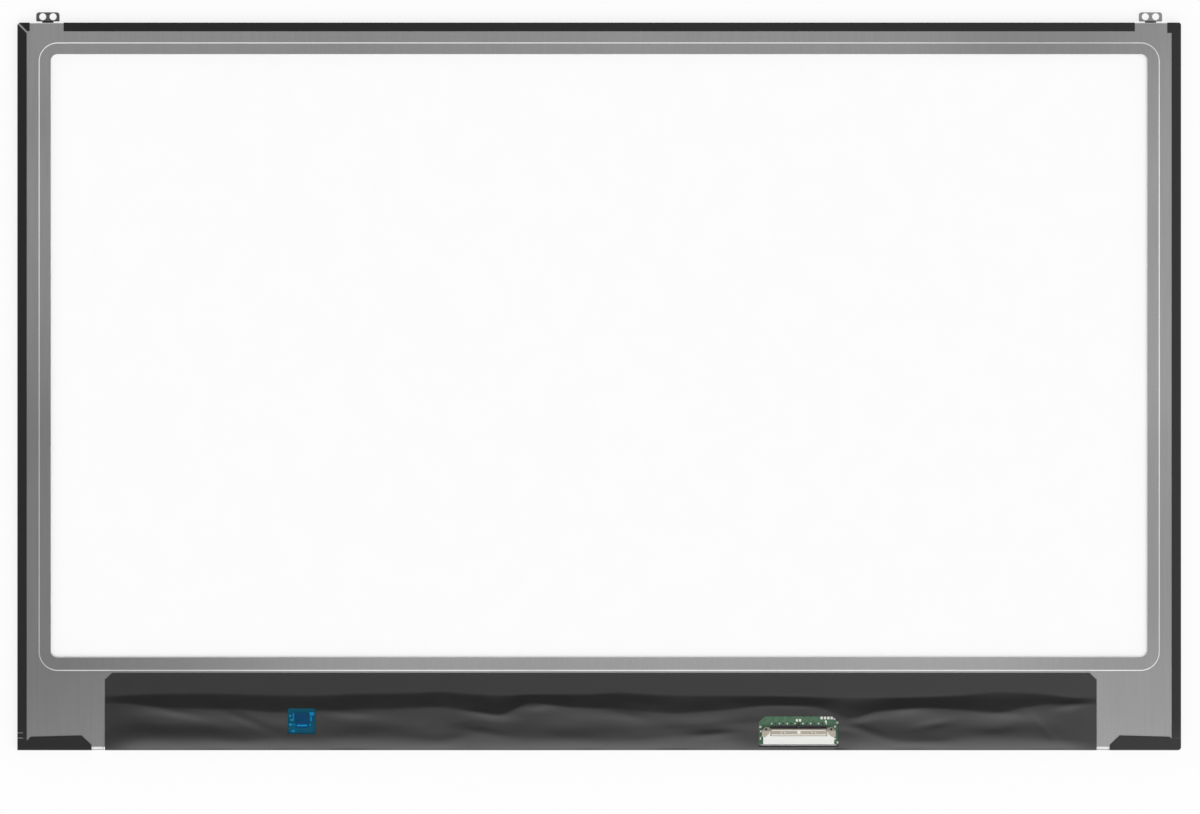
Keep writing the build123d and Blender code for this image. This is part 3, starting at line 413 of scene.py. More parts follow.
# Control board: glass-epoxy board with green solder mask, on the lower edge behind the cell. It
# shows in the connector's cut-out and under the blue inspection film.
solder_mask, tree, shader = start_material(
    "green solder mask", IOR=1.55, Coat_Weight=0.2, Coat_Roughness=0.2
)
place = add_node(tree, "ShaderNodeTexCoord")
# Copper lines and pours, 0.03 mm thick, show through the mask as paler and darker cells of 1.2 mm.
copper_depth = 0.03
copper = add_node(
    tree, "ShaderNodeTexVoronoi",
    {"Vector": place.outputs["Object"], "Scale": per_metre(1.2)},
    distance="CHEBYCHEV",
)
shade = add_node(tree, "ShaderNodeValToRGB", {"Fac": copper.outputs["Distance"]})
shade.color_ramp.elements[0].color = linear("#2F6042")
shade.color_ramp.elements[1].color = linear("#547E5A")
gloss = add_node(
    tree, "ShaderNodeMapRange", {"Value": copper.outputs["Distance"], "To Min": 0.3, "To Max": 0.42}
)
relief = add_node(
    tree, "ShaderNodeBump",
    {"Height": copper.outputs["Distance"], "Strength": 0.2, "Distance": copper_depth / 1000},
)
tree.links.new(shade.outputs["Color"], shader.inputs["Base Color"])
tree.links.new(gloss.outputs["Result"], shader.inputs["Roughness"])
tree.links.new(relief.outputs["Normal"], shader.inputs["Normal"])
dress(solder_mask, "control_board")

# Chips: the timing, power and light driver chips, soldered flat on the board. They are transfer
# moulded in dark grey epoxy, whose filler gives a sandy grain.
epoxy, tree, shader = start_material("moulded epoxy", IOR=1.55)
place = add_node(tree, "ShaderNodeTexCoord")
# Filler grains of about 0.1 mm.
grain = add_node(
    tree, "ShaderNodeTexNoise",
    {"Vector": place.outputs["Object"], "Scale": per_metre(0.1), "Detail": 2.0},
)
shade = add_node(tree, "ShaderNodeValToRGB", {"Fac": grain.outputs["Fac"]})
shade.color_ramp.elements[0].color = linear("#1B1B1D")
shade.color_ramp.elements[1].color = linear("#2E2E31")
dull = add_node(
    tree, "ShaderNodeMapRange", {"Value": grain.outputs["Fac"], "To Min": 0.4, "To Max": 0.6}
)
tree.links.new(shade.outputs["Color"], shader.inputs["Base Color"])
tree.links.new(dull.outputs["Result"], shader.inputs["Roughness"])
dress(epoxy, "timing_chip", "power_chip", "light_driver_chip")

# Setting chip and resistor network: the two small parts under the inspection window, in a paler violet
# grey epoxy with a satin top, which looks navy through the blue film.
grey_epoxy, tree, shader = start_material("grey moulded epoxy", IOR=1.55)
place = add_node(tree, "ShaderNodeTexCoord")
# Filler grains of about 0.1 mm.
grain = add_node(
    tree, "ShaderNodeTexNoise",
    {"Vector": place.outputs["Object"], "Scale": per_metre(0.1), "Detail": 2.0},
)
shade = add_node(tree, "ShaderNodeValToRGB", {"Fac": grain.outputs["Fac"]})
shade.color_ramp.elements[0].color = linear("#2E2848")
shade.color_ramp.elements[1].color = linear("#3A3256")
dull = add_node(
    tree, "ShaderNodeMapRange", {"Value": grain.outputs["Fac"], "To Min": 0.35, "To Max": 0.5}
)
tree.links.new(shade.outputs["Color"], shader.inputs["Base Color"])
tree.links.new(dull.outputs["Result"], shader.inputs["Roughness"])
dress(grey_epoxy, "setting_chip", "resistor_network")

# Coils: the chokes of the power stage, soldered on the board. Their ferrite is pressed and fired, matt
# grey with a salt-and-pepper grain.
ferrite, tree, shader = start_material("fired ferrite", IOR=1.6)
place = add_node(tree, "ShaderNodeTexCoord")
# Grains of about 0.2 mm.
grain = add_node(
    tree, "ShaderNodeTexVoronoi", {"Vector": place.outputs["Object"], "Scale": per_metre(0.2)}
)
shade = add_node(tree, "ShaderNodeValToRGB", {"Fac": grain.outputs["Distance"]})
shade.color_ramp.elements[0].color = linear("#55565A")
shade.color_ramp.elements[1].color = linear("#6E6F72")
dull = add_node(
    tree, "ShaderNodeMapRange", {"Value": grain.outputs["Distance"], "To Min": 0.55, "To Max": 0.7}
)
tree.links.new(shade.outputs["Color"], shader.inputs["Base Color"])
tree.links.new(dull.outputs["Result"], shader.inputs["Roughness"])
dress(ferrite, "coils")

# Capacitors and resistors: fired ceramic bodies, tan or glazed black, whose ends across X are dipped in
# tin and soldered to the board.
for node, finish, ior, roughness, body_colour in [
    ("capacitors", "tan capacitor ceramic", 1.6, 0.5, "#A98B63"),
    ("resistors", "black resistor glaze", 1.5, 0.25, "#19191B"),
]:
    ceramic, tree, shader = start_material(finish, IOR=ior, Roughness=roughness)
    place = add_node(tree, "ShaderNodeTexCoord")
    facing = add_node(tree, "ShaderNodeSeparateXYZ", {"Vector": place.outputs["Normal"]})
    ends = add_node(tree, "ShaderNodeMath", {0: facing.outputs["X"]}, operation="ABSOLUTE")
    shade = add_node(tree, "ShaderNodeValToRGB", {"Fac": ends.outputs["Value"]})
    shade.color_ramp.elements[0].color = linear(body_colour)
    shade.color_ramp.elements[1].color = linear("#C9C7C2")
    tree.links.new(shade.outputs["Color"], shader.inputs["Base Color"])
    tree.links.new(ends.outputs["Value"], shader.inputs["Metallic"])
    dress(ceramic, node)

# Signal connector: a white housing moulded in liquid-crystal polymer, under a shell of tinned sheet
# metal that is soldered to the board, with a row of gold-plated contacts.
housing_white, tree, shader = start_material("white liquid crystal polymer", IOR=1.6)
place = add_node(tree, "ShaderNodeTexCoord")
# Flow lines of the moulding, about 0.4 mm apart and 4 mm long, along the housing.
flow_width, flow_length = 0.4, 4.0
flow = add_node(
    tree, "ShaderNodeMapping",
    {"Vector": place.outputs["Object"], "Scale": (flow_width / flow_length, 1.0, 1.0)},
)
swirl = add_node(
    tree, "ShaderNodeTexNoise", {"Vector": flow.outputs["Vector"], "Scale": per_metre(flow_width)}
)
shade = add_node(tree, "ShaderNodeValToRGB", {"Fac": swirl.outputs["Fac"]})
shade.color_ramp.elements[0].color = linear("#E4E5E1")
shade.color_ramp.elements[1].color = linear("#F2F3EF")
dull = add_node(
    tree, "ShaderNodeMapRange", {"Value": swirl.outputs["Fac"], "To Min": 0.35, "To Max": 0.5}
)
tree.links.new(shade.outputs["Color"], shader.inputs["Base Color"])
tree.links.new(dull.outputs["Result"], shader.inputs["Roughness"])
dress(housing_white, "connector_housing")

# Shell: a cover stamped from thin sheet metal, dipped in tin and hooked over the housing's ends. The
# tin is a warm satin, too dull for a clear mirror image.
shell_metal, tree, shader = start_material("tinned sheet metal", Metallic=1.0)
place = add_node(tree, "ShaderNodeTexCoord")
# The dipped tin lies in soft patches of about 0.5 mm.
patches = add_node(
    tree, "ShaderNodeTexNoise",
    {"Vector": place.outputs["Object"], "Scale": per_metre(0.5), "Detail": 3.0},
)
shade = add_node(tree, "ShaderNodeValToRGB", {"Fac": patches.outputs["Fac"]})
shade.color_ramp.elements[0].color = linear("#ADA596")
shade.color_ramp.elements[1].color = linear("#CBC4B6")
dull = add_node(
    tree, "ShaderNodeMapRange", {"Value": patches.outputs["Fac"], "To Min": 0.28, "To Max": 0.45}
)
# The raised beads' tops get a painted highlight, and the back third is darker: both in millimetres.
bead_from, bead_to = 2.96, 2.99
even_to, darker_from, back_level = -93.45, -93.35, 0.62
spot = add_node(tree, "ShaderNodeSeparateXYZ", {"Vector": place.outputs["Object"]})
bright = add_node(
    tree, "ShaderNodeMapRange",
    {"Value": spot.outputs["Z"], "From Min": bead_from / 1000, "From Max": bead_to / 1000},
)
darker_back = add_node(
    tree, "ShaderNodeMapRange",
    {
        "Value": spot.outputs["Y"],
        "From Min": even_to / 1000, "From Max": darker_from / 1000,
        "To Min": 1.0, "To Max": back_level,
    },
)
tin = add_node(
    tree, "ShaderNodeVectorMath",
    {0: shade.outputs["Color"], "Scale": darker_back.outputs["Result"]},
    operation="SCALE",
)
tone = add_node(
    tree, "ShaderNodeMix",
    {mix_share: bright.outputs["Result"], mix_a: tin.outputs["Vector"], mix_b: linear("#F6F4EE")},
    data_type="RGBA",
)
tree.links.new(tone.outputs[mix_result], shader.inputs["Base Color"])
tree.links.new(dull.outputs["Result"], shader.inputs["Roughness"])
dress(shell_metal, "connector_shell")

# Contacts: a comb of thin bronze strip. The springs in the mouth are plated with gold, and the tails
# behind the housing are tinned and dulled by the solder, and painted darker still for the shade they
# lie in: these levels of Y part them, in millimetres.
gold_to, tin_from = -93.0, -92.8
contact_gold, tree, shader = start_material("gold plated strip", Metallic=1.0)
place = add_node(tree, "ShaderNodeTexCoord")
spot = add_node(tree, "ShaderNodeSeparateXYZ", {"Vector": place.outputs["Object"]})
tinned = add_node(
    tree, "ShaderNodeMapRange",
    {"Value": spot.outputs["Y"], "From Min": gold_to / 1000, "From Max": tin_from / 1000},
)
# The tails' dark violet grey is partly their dulled tin and partly painted shade.
shade = add_node(tree, "ShaderNodeValToRGB", {"Fac": tinned.outputs["Result"]})
shade.color_ramp.elements[0].color = linear("#D9B25F")
shade.color_ramp.elements[1].color = linear("#4A4349")
dull = add_node(
    tree, "ShaderNodeMapRange", {"Value": tinned.outputs["Result"], "To Min": 0.2, "To Max": 0.4}
)
tree.links.new(shade.outputs["Color"], shader.inputs["Base Color"])
tree.links.new(dull.outputs["Result"], shader.inputs["Roughness"])
dress(contact_gold, "connector_contacts")

# Lands and marks on the board: solder lands and plain bars of white ink, screen printed on the green
# mask round the connector and round the two parts under the inspection window.
white_ink, tree, shader = start_material("white screen printed ink", IOR=1.5)
place = add_node(tree, "ShaderNodeTexCoord")
# Screen mesh of 0.1 mm.
mesh_print = add_node(
    tree, "ShaderNodeTexNoise", {"Vector": place.outputs["Object"], "Scale": per_metre(0.1)}
)
shade = add_node(tree, "ShaderNodeValToRGB", {"Fac": mesh_print.outputs["Fac"]})
shade.color_ramp.elements[0].color = linear("#E8E8E4")
shade.color_ramp.elements[1].color = linear("#F8F8F6")
dull = add_node(
    tree, "ShaderNodeMapRange", {"Value": mesh_print.outputs["Fac"], "To Min": 0.4, "To Max": 0.6}
)
tree.links.new(shade.outputs["Color"], shader.inputs["Base Color"])
tree.links.new(dull.outputs["Result"], shader.inputs["Roughness"])

# One rounded land is modelled, 1 mm each way, and the ones that show are copies of it drawn to size. A
# tenth of its height lies below the level that it is laid on.
land_bevel, land_sink = 0.2, 0.1
bpy.ops.object.select_all(action="DESELECT")
bpy.ops.mesh.primitive_cube_add(size=1)
land = bpy.context.object
bpy.ops.object.mode_set(mode="EDIT")
bpy.ops.mesh.select_all(action="SELECT")
bpy.ops.mesh.bevel(offset=land_bevel, segments=3, affect="EDGES")
bpy.ops.object.mode_set(mode="OBJECT")


def lay_lands(name, material, base_z, height, lands):
    """Lays copies of the land on base_z: middle X and Y, length and width, all in millimetres."""
    bpy.ops.object.select_all(action="DESELECT")
    for land_x, land_y, length, width in lands:
        copy = land.copy()
        copy.data = land.data.copy()
        for vertex in copy.data.vertices:
            at = vertex.co
            at.x, at.y = land_x + at.x * length, land_y + at.y * width
            at.z = base_z + (at.z + 0.5 - land_sink) * height
            vertex.co = at / 1000
        bpy.context.collection.objects.link(copy)
        copy.select_set(True)
        bpy.context.view_layer.objects.active = copy
    bpy.ops.object.join()
    piece = bpy.context.object
    piece.name = name
    bpy.ops.object.shade_smooth_by_angle(angle=math.radians(50))
    piece.data.materials.append(material)
    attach(piece, "root")


board_top, ink_height, land_height = 1.85, 0.05, 0.10
bar_pitch, via_pitch, first_via_x = 0.92, 1.06, 46.8
bars = [(60.35 + bar_pitch * i, -89.97, 0.66, 0.74) for i in range(4)] + [(63.85, -90.2, 0.5, 0.5)]
middle_bars = [(53.66, -90.6, 0.62, 0.72), (54.52, -90.6, 0.62, 0.72)]
side_dots = [
    (61.5, -90.95, 0.5, 0.6), (64.65, -91.25, 0.55, 0.6), (63.95, -92.35, 0.5, 0.5),
    (63.85, -93.5, 0.4, 0.5), (63.95, -95.65, 0.4, 0.45), (64.75, -96.6, 0.6, 0.6),
    (43.75, -92.4, 0.55, 0.5), (43.85, -93.6, 0.5, 0.6), (43.75, -95.5, 0.4, 0.7),
]
lay_lands(
    "printed_marks", white_ink, board_top, ink_height,
    bars + middle_bars + side_dots,
)
lay_lands(
    "row_dots", white_ink, board_top, ink_height,
    [(first_via_x + 2 * via_pitch * i, -91.5, 0.34, 0.38) for i in range(8)],
)
# Dark lands of painted shade stand in the open vias' holes, between the white dots.
lay_lands(
    "via_hole_shade", epoxy, board_top, ink_height,
    [(first_via_x + via_pitch * (2 * i + 1), -91.45, 0.5, 0.42) for i in range(7)],
)
lay_lands(
    "window_lands", white_ink, board_top, land_height,
    [
        (-83.9, -89.35, 0.55, 0.5), (-82.95, -89.55, 0.36, 1.75), (-83.35, -90.5, 0.9, 0.4),
        (-83.8, -91.75, 0.8, 0.55), (-82.75, -91.78, 0.4, 0.4), (-78.4, -91.78, 0.4, 0.4),
        (-78.05, -88.85, 1.5, 0.9), (-78.2, -90.2, 0.42, 1.25), (-83.1, -93.55, 0.95, 0.6),
    ],
)
network_top, bar_height = 2.2, 0.06
lay_lands(
    "network_bar", white_ink, network_top, bar_height,
    [(-80.57, -91.98, 2.85, 0.36)],
)

# Connector trim: a dark strip of painted shadow along the tails, the black key behind the shell, dark
# discs of painted shade in the hooks' holes, the white latch in the middle, and the steel ledge under
# the mouth, with a black strip of painted shadow in the gap at the film's lip. The discs sit on the
# hooks' level and the latch on the shell's.
connector_x, hook_hole_x, hook_top, shell_top = 54.1, 8.83, 2.83, 2.93
trim_height, key_height, ledge_height, lip_shadow_height = 0.1, 0.9, 0.25, 0.06
# A dark strip of painted shadow along the tails, under the shell's back edge.
lay_lands(
    "tail_shadow_strip", epoxy, board_top, trim_height, [(connector_x - 0.13, -92.5, 15.3, 0.7)]
)
lay_lands(
    "connector_key", epoxy, board_top, key_height, [(connector_x, -92.2, 1.1, 0.7)]
)
# Dark discs of painted shade in the hooks' holes.
lay_lands(
    "hook_hole_shade", epoxy, hook_top, trim_height,
    [(connector_x + side * hook_hole_x, -92.99, 0.66, 0.66) for side in (-1, 1)],
)
lay_lands(
    "latch_button", housing_white, shell_top, trim_height,
    [(connector_x + 0.06, -93.78, 0.85, 0.8)],
)
lay_lands(
    "mouth_ledge", plate_steel, board_top, ledge_height,
    [(connector_x, -97.22, 20.6, 0.5)],
)
# A black strip of painted shadow in the gap at the film's lip, below the ledge.
lay_lands(
    "lip_shadow_strip", rim_black, board_top, lip_shadow_height,
    [(connector_x, -97.74, 21.4, 0.58)],
)
bpy.data.objects.remove(land)

# Inspection window: a patch of clear blue film on the setting chip, under an opening in the cover
# film, so that the board below looks teal and the chip navy.
surface_share = 0.12
window_blue, tree, shader = start_material(
    "clear blue polyester film", IOR=1.5, Base_Color=linear("#3A86A8"), Roughness=0.12
)
place = add_node(tree, "ShaderNodeTexCoord")
# Slight thick and thin streaks of the dyed film, 3 mm apart.
dye = add_node(tree, "ShaderNodeTexNoise", {"Vector": place.outputs["Object"], "Scale": per_metre(3)})
tint = add_node(tree, "ShaderNodeValToRGB", {"Fac": dye.outputs["Fac"]})
tint.color_ramp.elements[0].color = linear("#7CE4FC")
tint.color_ramp.elements[1].color = linear("#86ECFF")
through = add_node(tree, "ShaderNodeBsdfTransparent", {"Color": tint.outputs["Color"]})
film_mix = add_node(
    tree, "ShaderNodeMixShader",
    {0: surface_share, 1: through.outputs["BSDF"], 2: shader.outputs["BSDF"]},
)
tree.links.new(film_mix.outputs["Shader"], tree.nodes["Material Output"].inputs["Surface"])
dress(window_blue, "window_film")

# Cover film: one thin glossy black polyester sheet, stuck to the plate along its upper strip, tented
# in folds over the board's parts, bent down at the bottom edge and stuck under the board.
film_left, film_right = -134.11, 134.95
film_top, rise_start, fall_y, bend_y, wall_y = -77.70, -83.2, -98.40, -98.42, -98.70
plate_back, board_front, film_thickness = 2.18, 1.40, 0.08
bend_radius, corner_chamfer = 0.28, 1.9
flap_end, flap_x = -93.74, 130.4
cut_out_x, cut_out_top, cut_out_bottom, cut_out_chamfer, lip_sag = 10.84, -89.39, -97.72, 1.7, 0.25
window_left, window_right, window_top, window_bottom = -84.46, -77.0, -87.4, -94.3
# How the film rises and falls: how round its rise to the ridge is, by how much it falls to the bottom
# bend at its ends, inside them and at the connector, how far these ease into each other, and how late.
rise_rounding = 0.25
drop_at_ends, drop_inside, drop_at_mouth = 0.10, 0.62, 0.30
ends_ease, mouth_ease, fall_power = 12.0, 9.0, 2.1
# Sections along the film, in millimetres: X, Y of the crease where the film leaves the plate, Y and
# height of the ridge behind it, of the hollow, and of the fold from which it falls to the bottom bend.
film_sections = [
    (-134.2, -84.0, -85.9, 0.12, -91.6, 0.11, -95.6, 0.12),
    (-129.0, -83.9, -85.9, 0.34, -91.2, 0.26, -95.4, 0.40),
    (-121.0, -83.6, -86.7, 0.54, -91.2, 0.38, -95.0, 0.60),
    (-113.2, -83.5, -87.2, 0.60, -91.4, 0.36, -95.0, 0.58),
    (-105.3, -83.4, -87.5, 0.62, -92.0, 0.37, -95.3, 0.54),
    (-97.5, -83.6, -87.5, 0.62, -92.4, 0.42, -95.6, 0.50),
    (-89.6, -83.9, -88.3, 0.62, -92.6, 0.50, -95.1, 0.51),
    (-73.8, -83.8, -87.8, 0.62, -91.0, 0.54, -94.8, 0.55),
    (-66.0, -83.5, -87.5, 0.66, -91.8, 0.44, -94.7, 0.54),
    (-58.1, -83.4, -87.5, 0.66, -92.0, 0.43, -94.7, 0.51),
    (-50.2, -83.2, -87.2, 0.66, -92.4, 0.44, -95.1, 0.48),
    (-42.4, -83.0, -87.0, 0.68, -92.4, 0.48, -95.5, 0.48),
    (-34.5, -83.6, -88.1, 0.80, -90.8, 0.66, -93.8, 0.64),
    (-26.6, -83.9, -88.9, 0.82, -91.4, 0.67, -94.4, 0.62),
    (-18.8, -83.8, -85.6, 0.80, -91.4, 0.66, -94.9, 0.68),
    (-10.9, -83.7, -86.7, 0.78, -92.2, 0.48, -95.2, 0.60),
    (-3.0, -83.6, -87.2, 0.74, -92.4, 0.42, -95.2, 0.54),
    (4.8, -83.2, -87.2, 0.72, -92.6, 0.43, -95.2, 0.49),
    (12.7, -83.6, -88.1, 0.74, -92.6, 0.46, -95.1, 0.48),
    (20.6, -83.9, -88.6, 0.70, -92.2, 0.45, -94.2, 0.44),
    (28.4, -84.0, -88.1, 0.66, -91.8, 0.41, -93.6, 0.40),
    (36.3, -84.0, -87.5, 0.60, -91.0, 0.43, -93.5, 0.36),
    (44.2, -84.1, -86.6, 0.60, -90.5, 0.52, -93.8, 0.32),
    (52.0, -84.2, -86.6, 0.62, -90.5, 0.54, -94.2, 0.32),
    (59.9, -84.4, -87.2, 0.62, -90.5, 0.56, -94.2, 0.32),
    (67.8, -84.6, -89.9, 0.66, -92.2, 0.46, -93.9, 0.40),
    (75.6, -84.6, -88.1, 0.66, -91.0, 0.46, -94.8, 0.48),
    (83.5, -84.5, -87.2, 0.70, -91.2, 0.46, -96.0, 0.54),
    (91.4, -84.2, -87.2, 0.74, -91.8, 0.52, -95.8, 0.57),
    (99.2, -83.8, -87.8, 0.80, -92.2, 0.63, -94.9, 0.68),
    (107.1, -83.1, -88.6, 0.70, -92.6, 0.46, -94.8, 0.60),
    (115.0, -83.2, -87.2, 0.58, -91.4, 0.42, -94.9, 0.50),
    (122.8, -83.8, -86.2, 0.44, -91.4, 0.34, -95.4, 0.42),
    (130.0, -84.6, -86.2, 0.28, -91.6, 0.24, -96.0, 0.27),
    (135.0, -84.6, -86.2, 0.12, -91.6, 0.11, -96.0, 0.12),
]


def smooth(share):
    """Eases from 0 to 1 as share goes from 0 to 1."""
    share = np.clip(share, 0, 1)
    return share * share * (3 - 2 * share)


def along_sections(x, column):
    """A column of the sections at x, eased from one section to the next."""
    table = np.array(film_sections)
    after = np.clip(np.searchsorted(table[:, 0], x), 1, len(table) - 1)
    before = after - 1
    share = (x - table[before, 0]) / (table[after, 0] - table[before, 0])
    tangent = np.gradient(table[:, column], table[:, 0])
    span = table[after, 0] - table[before, 0]
    share2, share3 = share**2, share**3
    return (
        (2 * share3 - 3 * share2 + 1) * table[before, column]
        + (share3 - 2 * share2 + share) * span * tangent[before]
        + (3 * share2 - 2 * share3) * table[after, column]
        + (share3 - share2) * span * tangent[after]
    )


def inside_ends(x):
    """Eases from 0 at the film's two ends to 1 inside them."""
    return smooth(np.minimum(x - film_left, film_right - x) / ends_ease)


def film_height(x, y):
    """Height of the film's middle above the plate at x, y."""
    crease_y, ridge_y, ridge, hollow_y, hollow, fold_y, fold = [
        along_sections(x, column) for column in range(1, 8)
    ]
    mouth = 1 - smooth((np.abs(x - connector_x) - cut_out_x) / mouth_ease)
    drop = drop_at_ends + drop_inside * inside_ends(x) * (1 - mouth) + drop_at_mouth * mouth
    rise = np.clip((crease_y - y) / (crease_y - ridge_y), 0, 1)
    height = ridge * ((1 - rise_rounding) * rise + rise_rounding * smooth(rise))
    height = height + (hollow - ridge) * smooth((ridge_y - y) / (ridge_y - hollow_y))
    height = height + (fold - hollow) * smooth((hollow_y - y) / (hollow_y - fold_y))
    fall = np.clip((fold_y - y) / (fold_y - fall_y), 0, 1)
    return height - drop * fall**fall_power + film_thickness / 2


# A flat grid is bent to the sections: its rows lie on the back, round the bend, down the wall and along
# the flap under the board.
columns, flat_rows, bend_rows, wall_rows, flap_rows = 539, 58, 6, 4, 8
rows = flat_rows + bend_rows + wall_rows + flap_rows
bpy.ops.object.select_all(action="DESELECT")
bpy.ops.mesh.primitive_grid_add(x_subdivisions=columns, y_subdivisions=rows, size=2)
cover = bpy.context.object
cover.name = "wrinkled_cover_film"
grid = np.array([v.co for v in cover.data.vertices])
x = film_left + (grid[:, 0] + 1) / 2 * (film_right - film_left)
row = np.rint((1 - grid[:, 1]) / 2 * rows)
y = film_top + np.clip(row / flat_rows, 0, 1) * (bend_y - film_top)
z = plate_back + film_height(x, y)
# Crinkles of the stretched film, none on the stuck strip: folds of about 13 mm by 5 mm, lying aslant,
# and finer ones of about 6 mm by 3 mm. Most of them stay within half of the heights given here.
crinkle_length, crinkle_width, crinkle_slant, crinkle_height, crinkle_ease = 13.0, 4.5, 9.0, 0.10, 3.0
fine_length, fine_width, fine_height = 6.0, 3.0, 0.012
crinkle_seed, fine_seed = 3.7, 0.0
coarse = zip(x / crinkle_length + y / crinkle_slant, y / crinkle_width)
fine = zip(x / fine_length, y / fine_width)
crinkle = crinkle_height * np.array([noise.noise((a, b, crinkle_seed)) for a, b in coarse])
crinkle = crinkle + fine_height * np.array([noise.noise((a, b, fine_seed)) for a, b in fine])
z = z + crinkle * smooth((rise_start - y) / crinkle_ease) * inside_ends(x)
# Single folds pressed in by hand: X, Y, half length, half width, slant in degrees and height.
for fold_x, fold_mid_y, half_length, half_width, slant, fold_height in [
    (-115.3, -88.2, 8.0, 1.1, -11, 0.13),
    (-95.0, -90.8, 6.0, 1.1, -23, 0.13),
    (-68.0, -88.6, 6.5, 1.1, -4, 0.12),
    (-31.0, -88.6, 4.5, 0.8, -8, 0.10),
    (-31.3, -93.8, 6.0, 1.2, -8, 0.14),
    (-16.9, -86.6, 5.0, 1.1, 4, 0.14),
    (7.0, -88.8, 6.0, 1.5, -12, 0.16),
    (30.6, -94.4, 6.0, 1.0, 4, 0.13),
    (51.5, -86.3, 8.0, 0.8, 0, 0.07),
    (72.0, -93.4, 7.0, 1.2, -19, 0.19),
    (83.0, -87.6, 5.5, 1.0, 5, 0.13),
    (91.0, -91.6, 5.0, 1.0, 10, -0.10),
    (109.0, -88.6, 7.0, 1.1, -6, 0.10),
    (120.7, -93.2, 5.5, 0.9, -48, -0.14),
    (127.0, -86.6, 4.0, 1.0, 8, 0.13),
]:
    turned = math.radians(slant)
    along = (x - fold_x) * math.cos(turned) + (y - fold_mid_y) * math.sin(turned)
    across = (y - fold_mid_y) * math.cos(turned) - (x - fold_x) * math.sin(turned)
    z = z + fold_height * np.exp(-((along / half_length) ** 2) - (across / half_width) ** 2)
edge_z = plate_back + film_height(x, np.full_like(x, bend_y))
turn = np.clip((row - flat_rows) / bend_rows, 0, 1) * math.pi / 2
y = np.where(row > flat_rows, bend_y - bend_radius * np.sin(turn), y)
z = np.where(row > flat_rows, edge_z - bend_radius * (1 - np.cos(turn)), z)
wall = np.clip((row - flat_rows - bend_rows) / wall_rows, 0, 1)
flap_z = board_front - film_thickness / 2
z = np.where(wall > 0, (1 - wall) * (edge_z - bend_radius) + wall * flap_z, z)
flap = np.clip((row - flat_rows - bend_rows - wall_rows) / flap_rows, 0, 1)
y = np.where(flap > 0, wall_y + flap * (flap_end - wall_y), y)
bent = np.column_stack([x, y, z]) / 1000
cover.data.vertices.foreach_set("co", bent.astype(np.float32).ravel())
cover.data.update()

# The openings, the corner chamfers and the flap's ends are cut in, and what lies in them is taken out.
bpy.ops.object.mode_set(mode="EDIT")
for cut, across in [
    ((window_left, 0, 0), (1, 0, 0)),
    ((window_right, 0, 0), (1, 0, 0)),
    ((0, window_top, 0), (0, 1, 0)),
    ((0, window_bottom, 0), (0, 1, 0)),
    ((connector_x - cut_out_x, 0, 0), (1, 0, 0)),
    ((connector_x + cut_out_x, 0, 0), (1, 0, 0)),
    ((0, cut_out_top, 0), (0, 1, 0)),
    ((0, cut_out_bottom, 0), (0, 1, 0)),
    ((connector_x - cut_out_x, cut_out_top - cut_out_chamfer, 0), (1, -1, 0)),
    ((connector_x + cut_out_x, cut_out_top - cut_out_chamfer, 0), (1, 1, 0)),
    ((film_left, film_top - corner_chamfer, 0), (1, -1, 0)),
    ((film_right, film_top - corner_chamfer, 0), (1, 1, 0)),
    ((-flap_x, 0, 0), (1, 0, 0)),
    ((flap_x, 0, 0), (1, 0, 0)),
]:
    bpy.ops.mesh.select_all(action="SELECT")
    bpy.ops.mesh.bisect(plane_co=Vector(cut) / 1000, plane_no=Vector(across).normalized())
bpy.ops.mesh.select_all(action="DESELECT")
bpy.ops.object.mode_set(mode="OBJECT")
for face in cover.data.polygons:
    at = face.center * 1000
    off_side = abs(at.x - connector_x)
    in_window = window_left < at.x < window_right and window_bottom < at.y < window_top
    in_cut_out = (
        off_side < cut_out_x
        and cut_out_bottom < at.y < cut_out_top
        and off_side - cut_out_x < cut_out_top - at.y - cut_out_chamfer
    )
    off_corner = max(film_left - at.x, at.x - film_right) + corner_chamfer > film_top - at.y
    off_flap = at.z < board_front and abs(at.x) > flap_x
    face.select = in_window or (in_cut_out and at.z > board_front) or off_corner or off_flap
bpy.ops.object.mode_set(mode="EDIT")
bpy.ops.mesh.delete(type="FACE")
bpy.ops.object.mode_set(mode="OBJECT")
# The strip under the connector's mouth sags in the middle of its free edge.
for vertex in cover.data.vertices:
    aside = abs(vertex.co.x * 1000 - connector_x) / cut_out_x
    share = (vertex.co.y * 1000 - bend_y) / (cut_out_bottom - bend_y)
    if aside < 1 and 0 < share < 1.001 and vertex.co.z * 1000 > board_front:
        vertex.co.y -= lip_sag * (1 - aside**2) * share / 1000
bpy.ops.object.modifier_add(type="SOLIDIFY")
cover.modifiers["Solidify"].thickness = film_thickness / 1000
cover.modifiers["Solidify"].offset = 0
bpy.ops.object.modifier_apply(modifier="Solidify")
bpy.ops.object.shade_smooth_by_angle(angle=math.radians(40))

cover_black, tree, shader = start_material("glossy black polyester film", IOR=1.6)
place = add_node(tree, "ShaderNodeTexCoord")
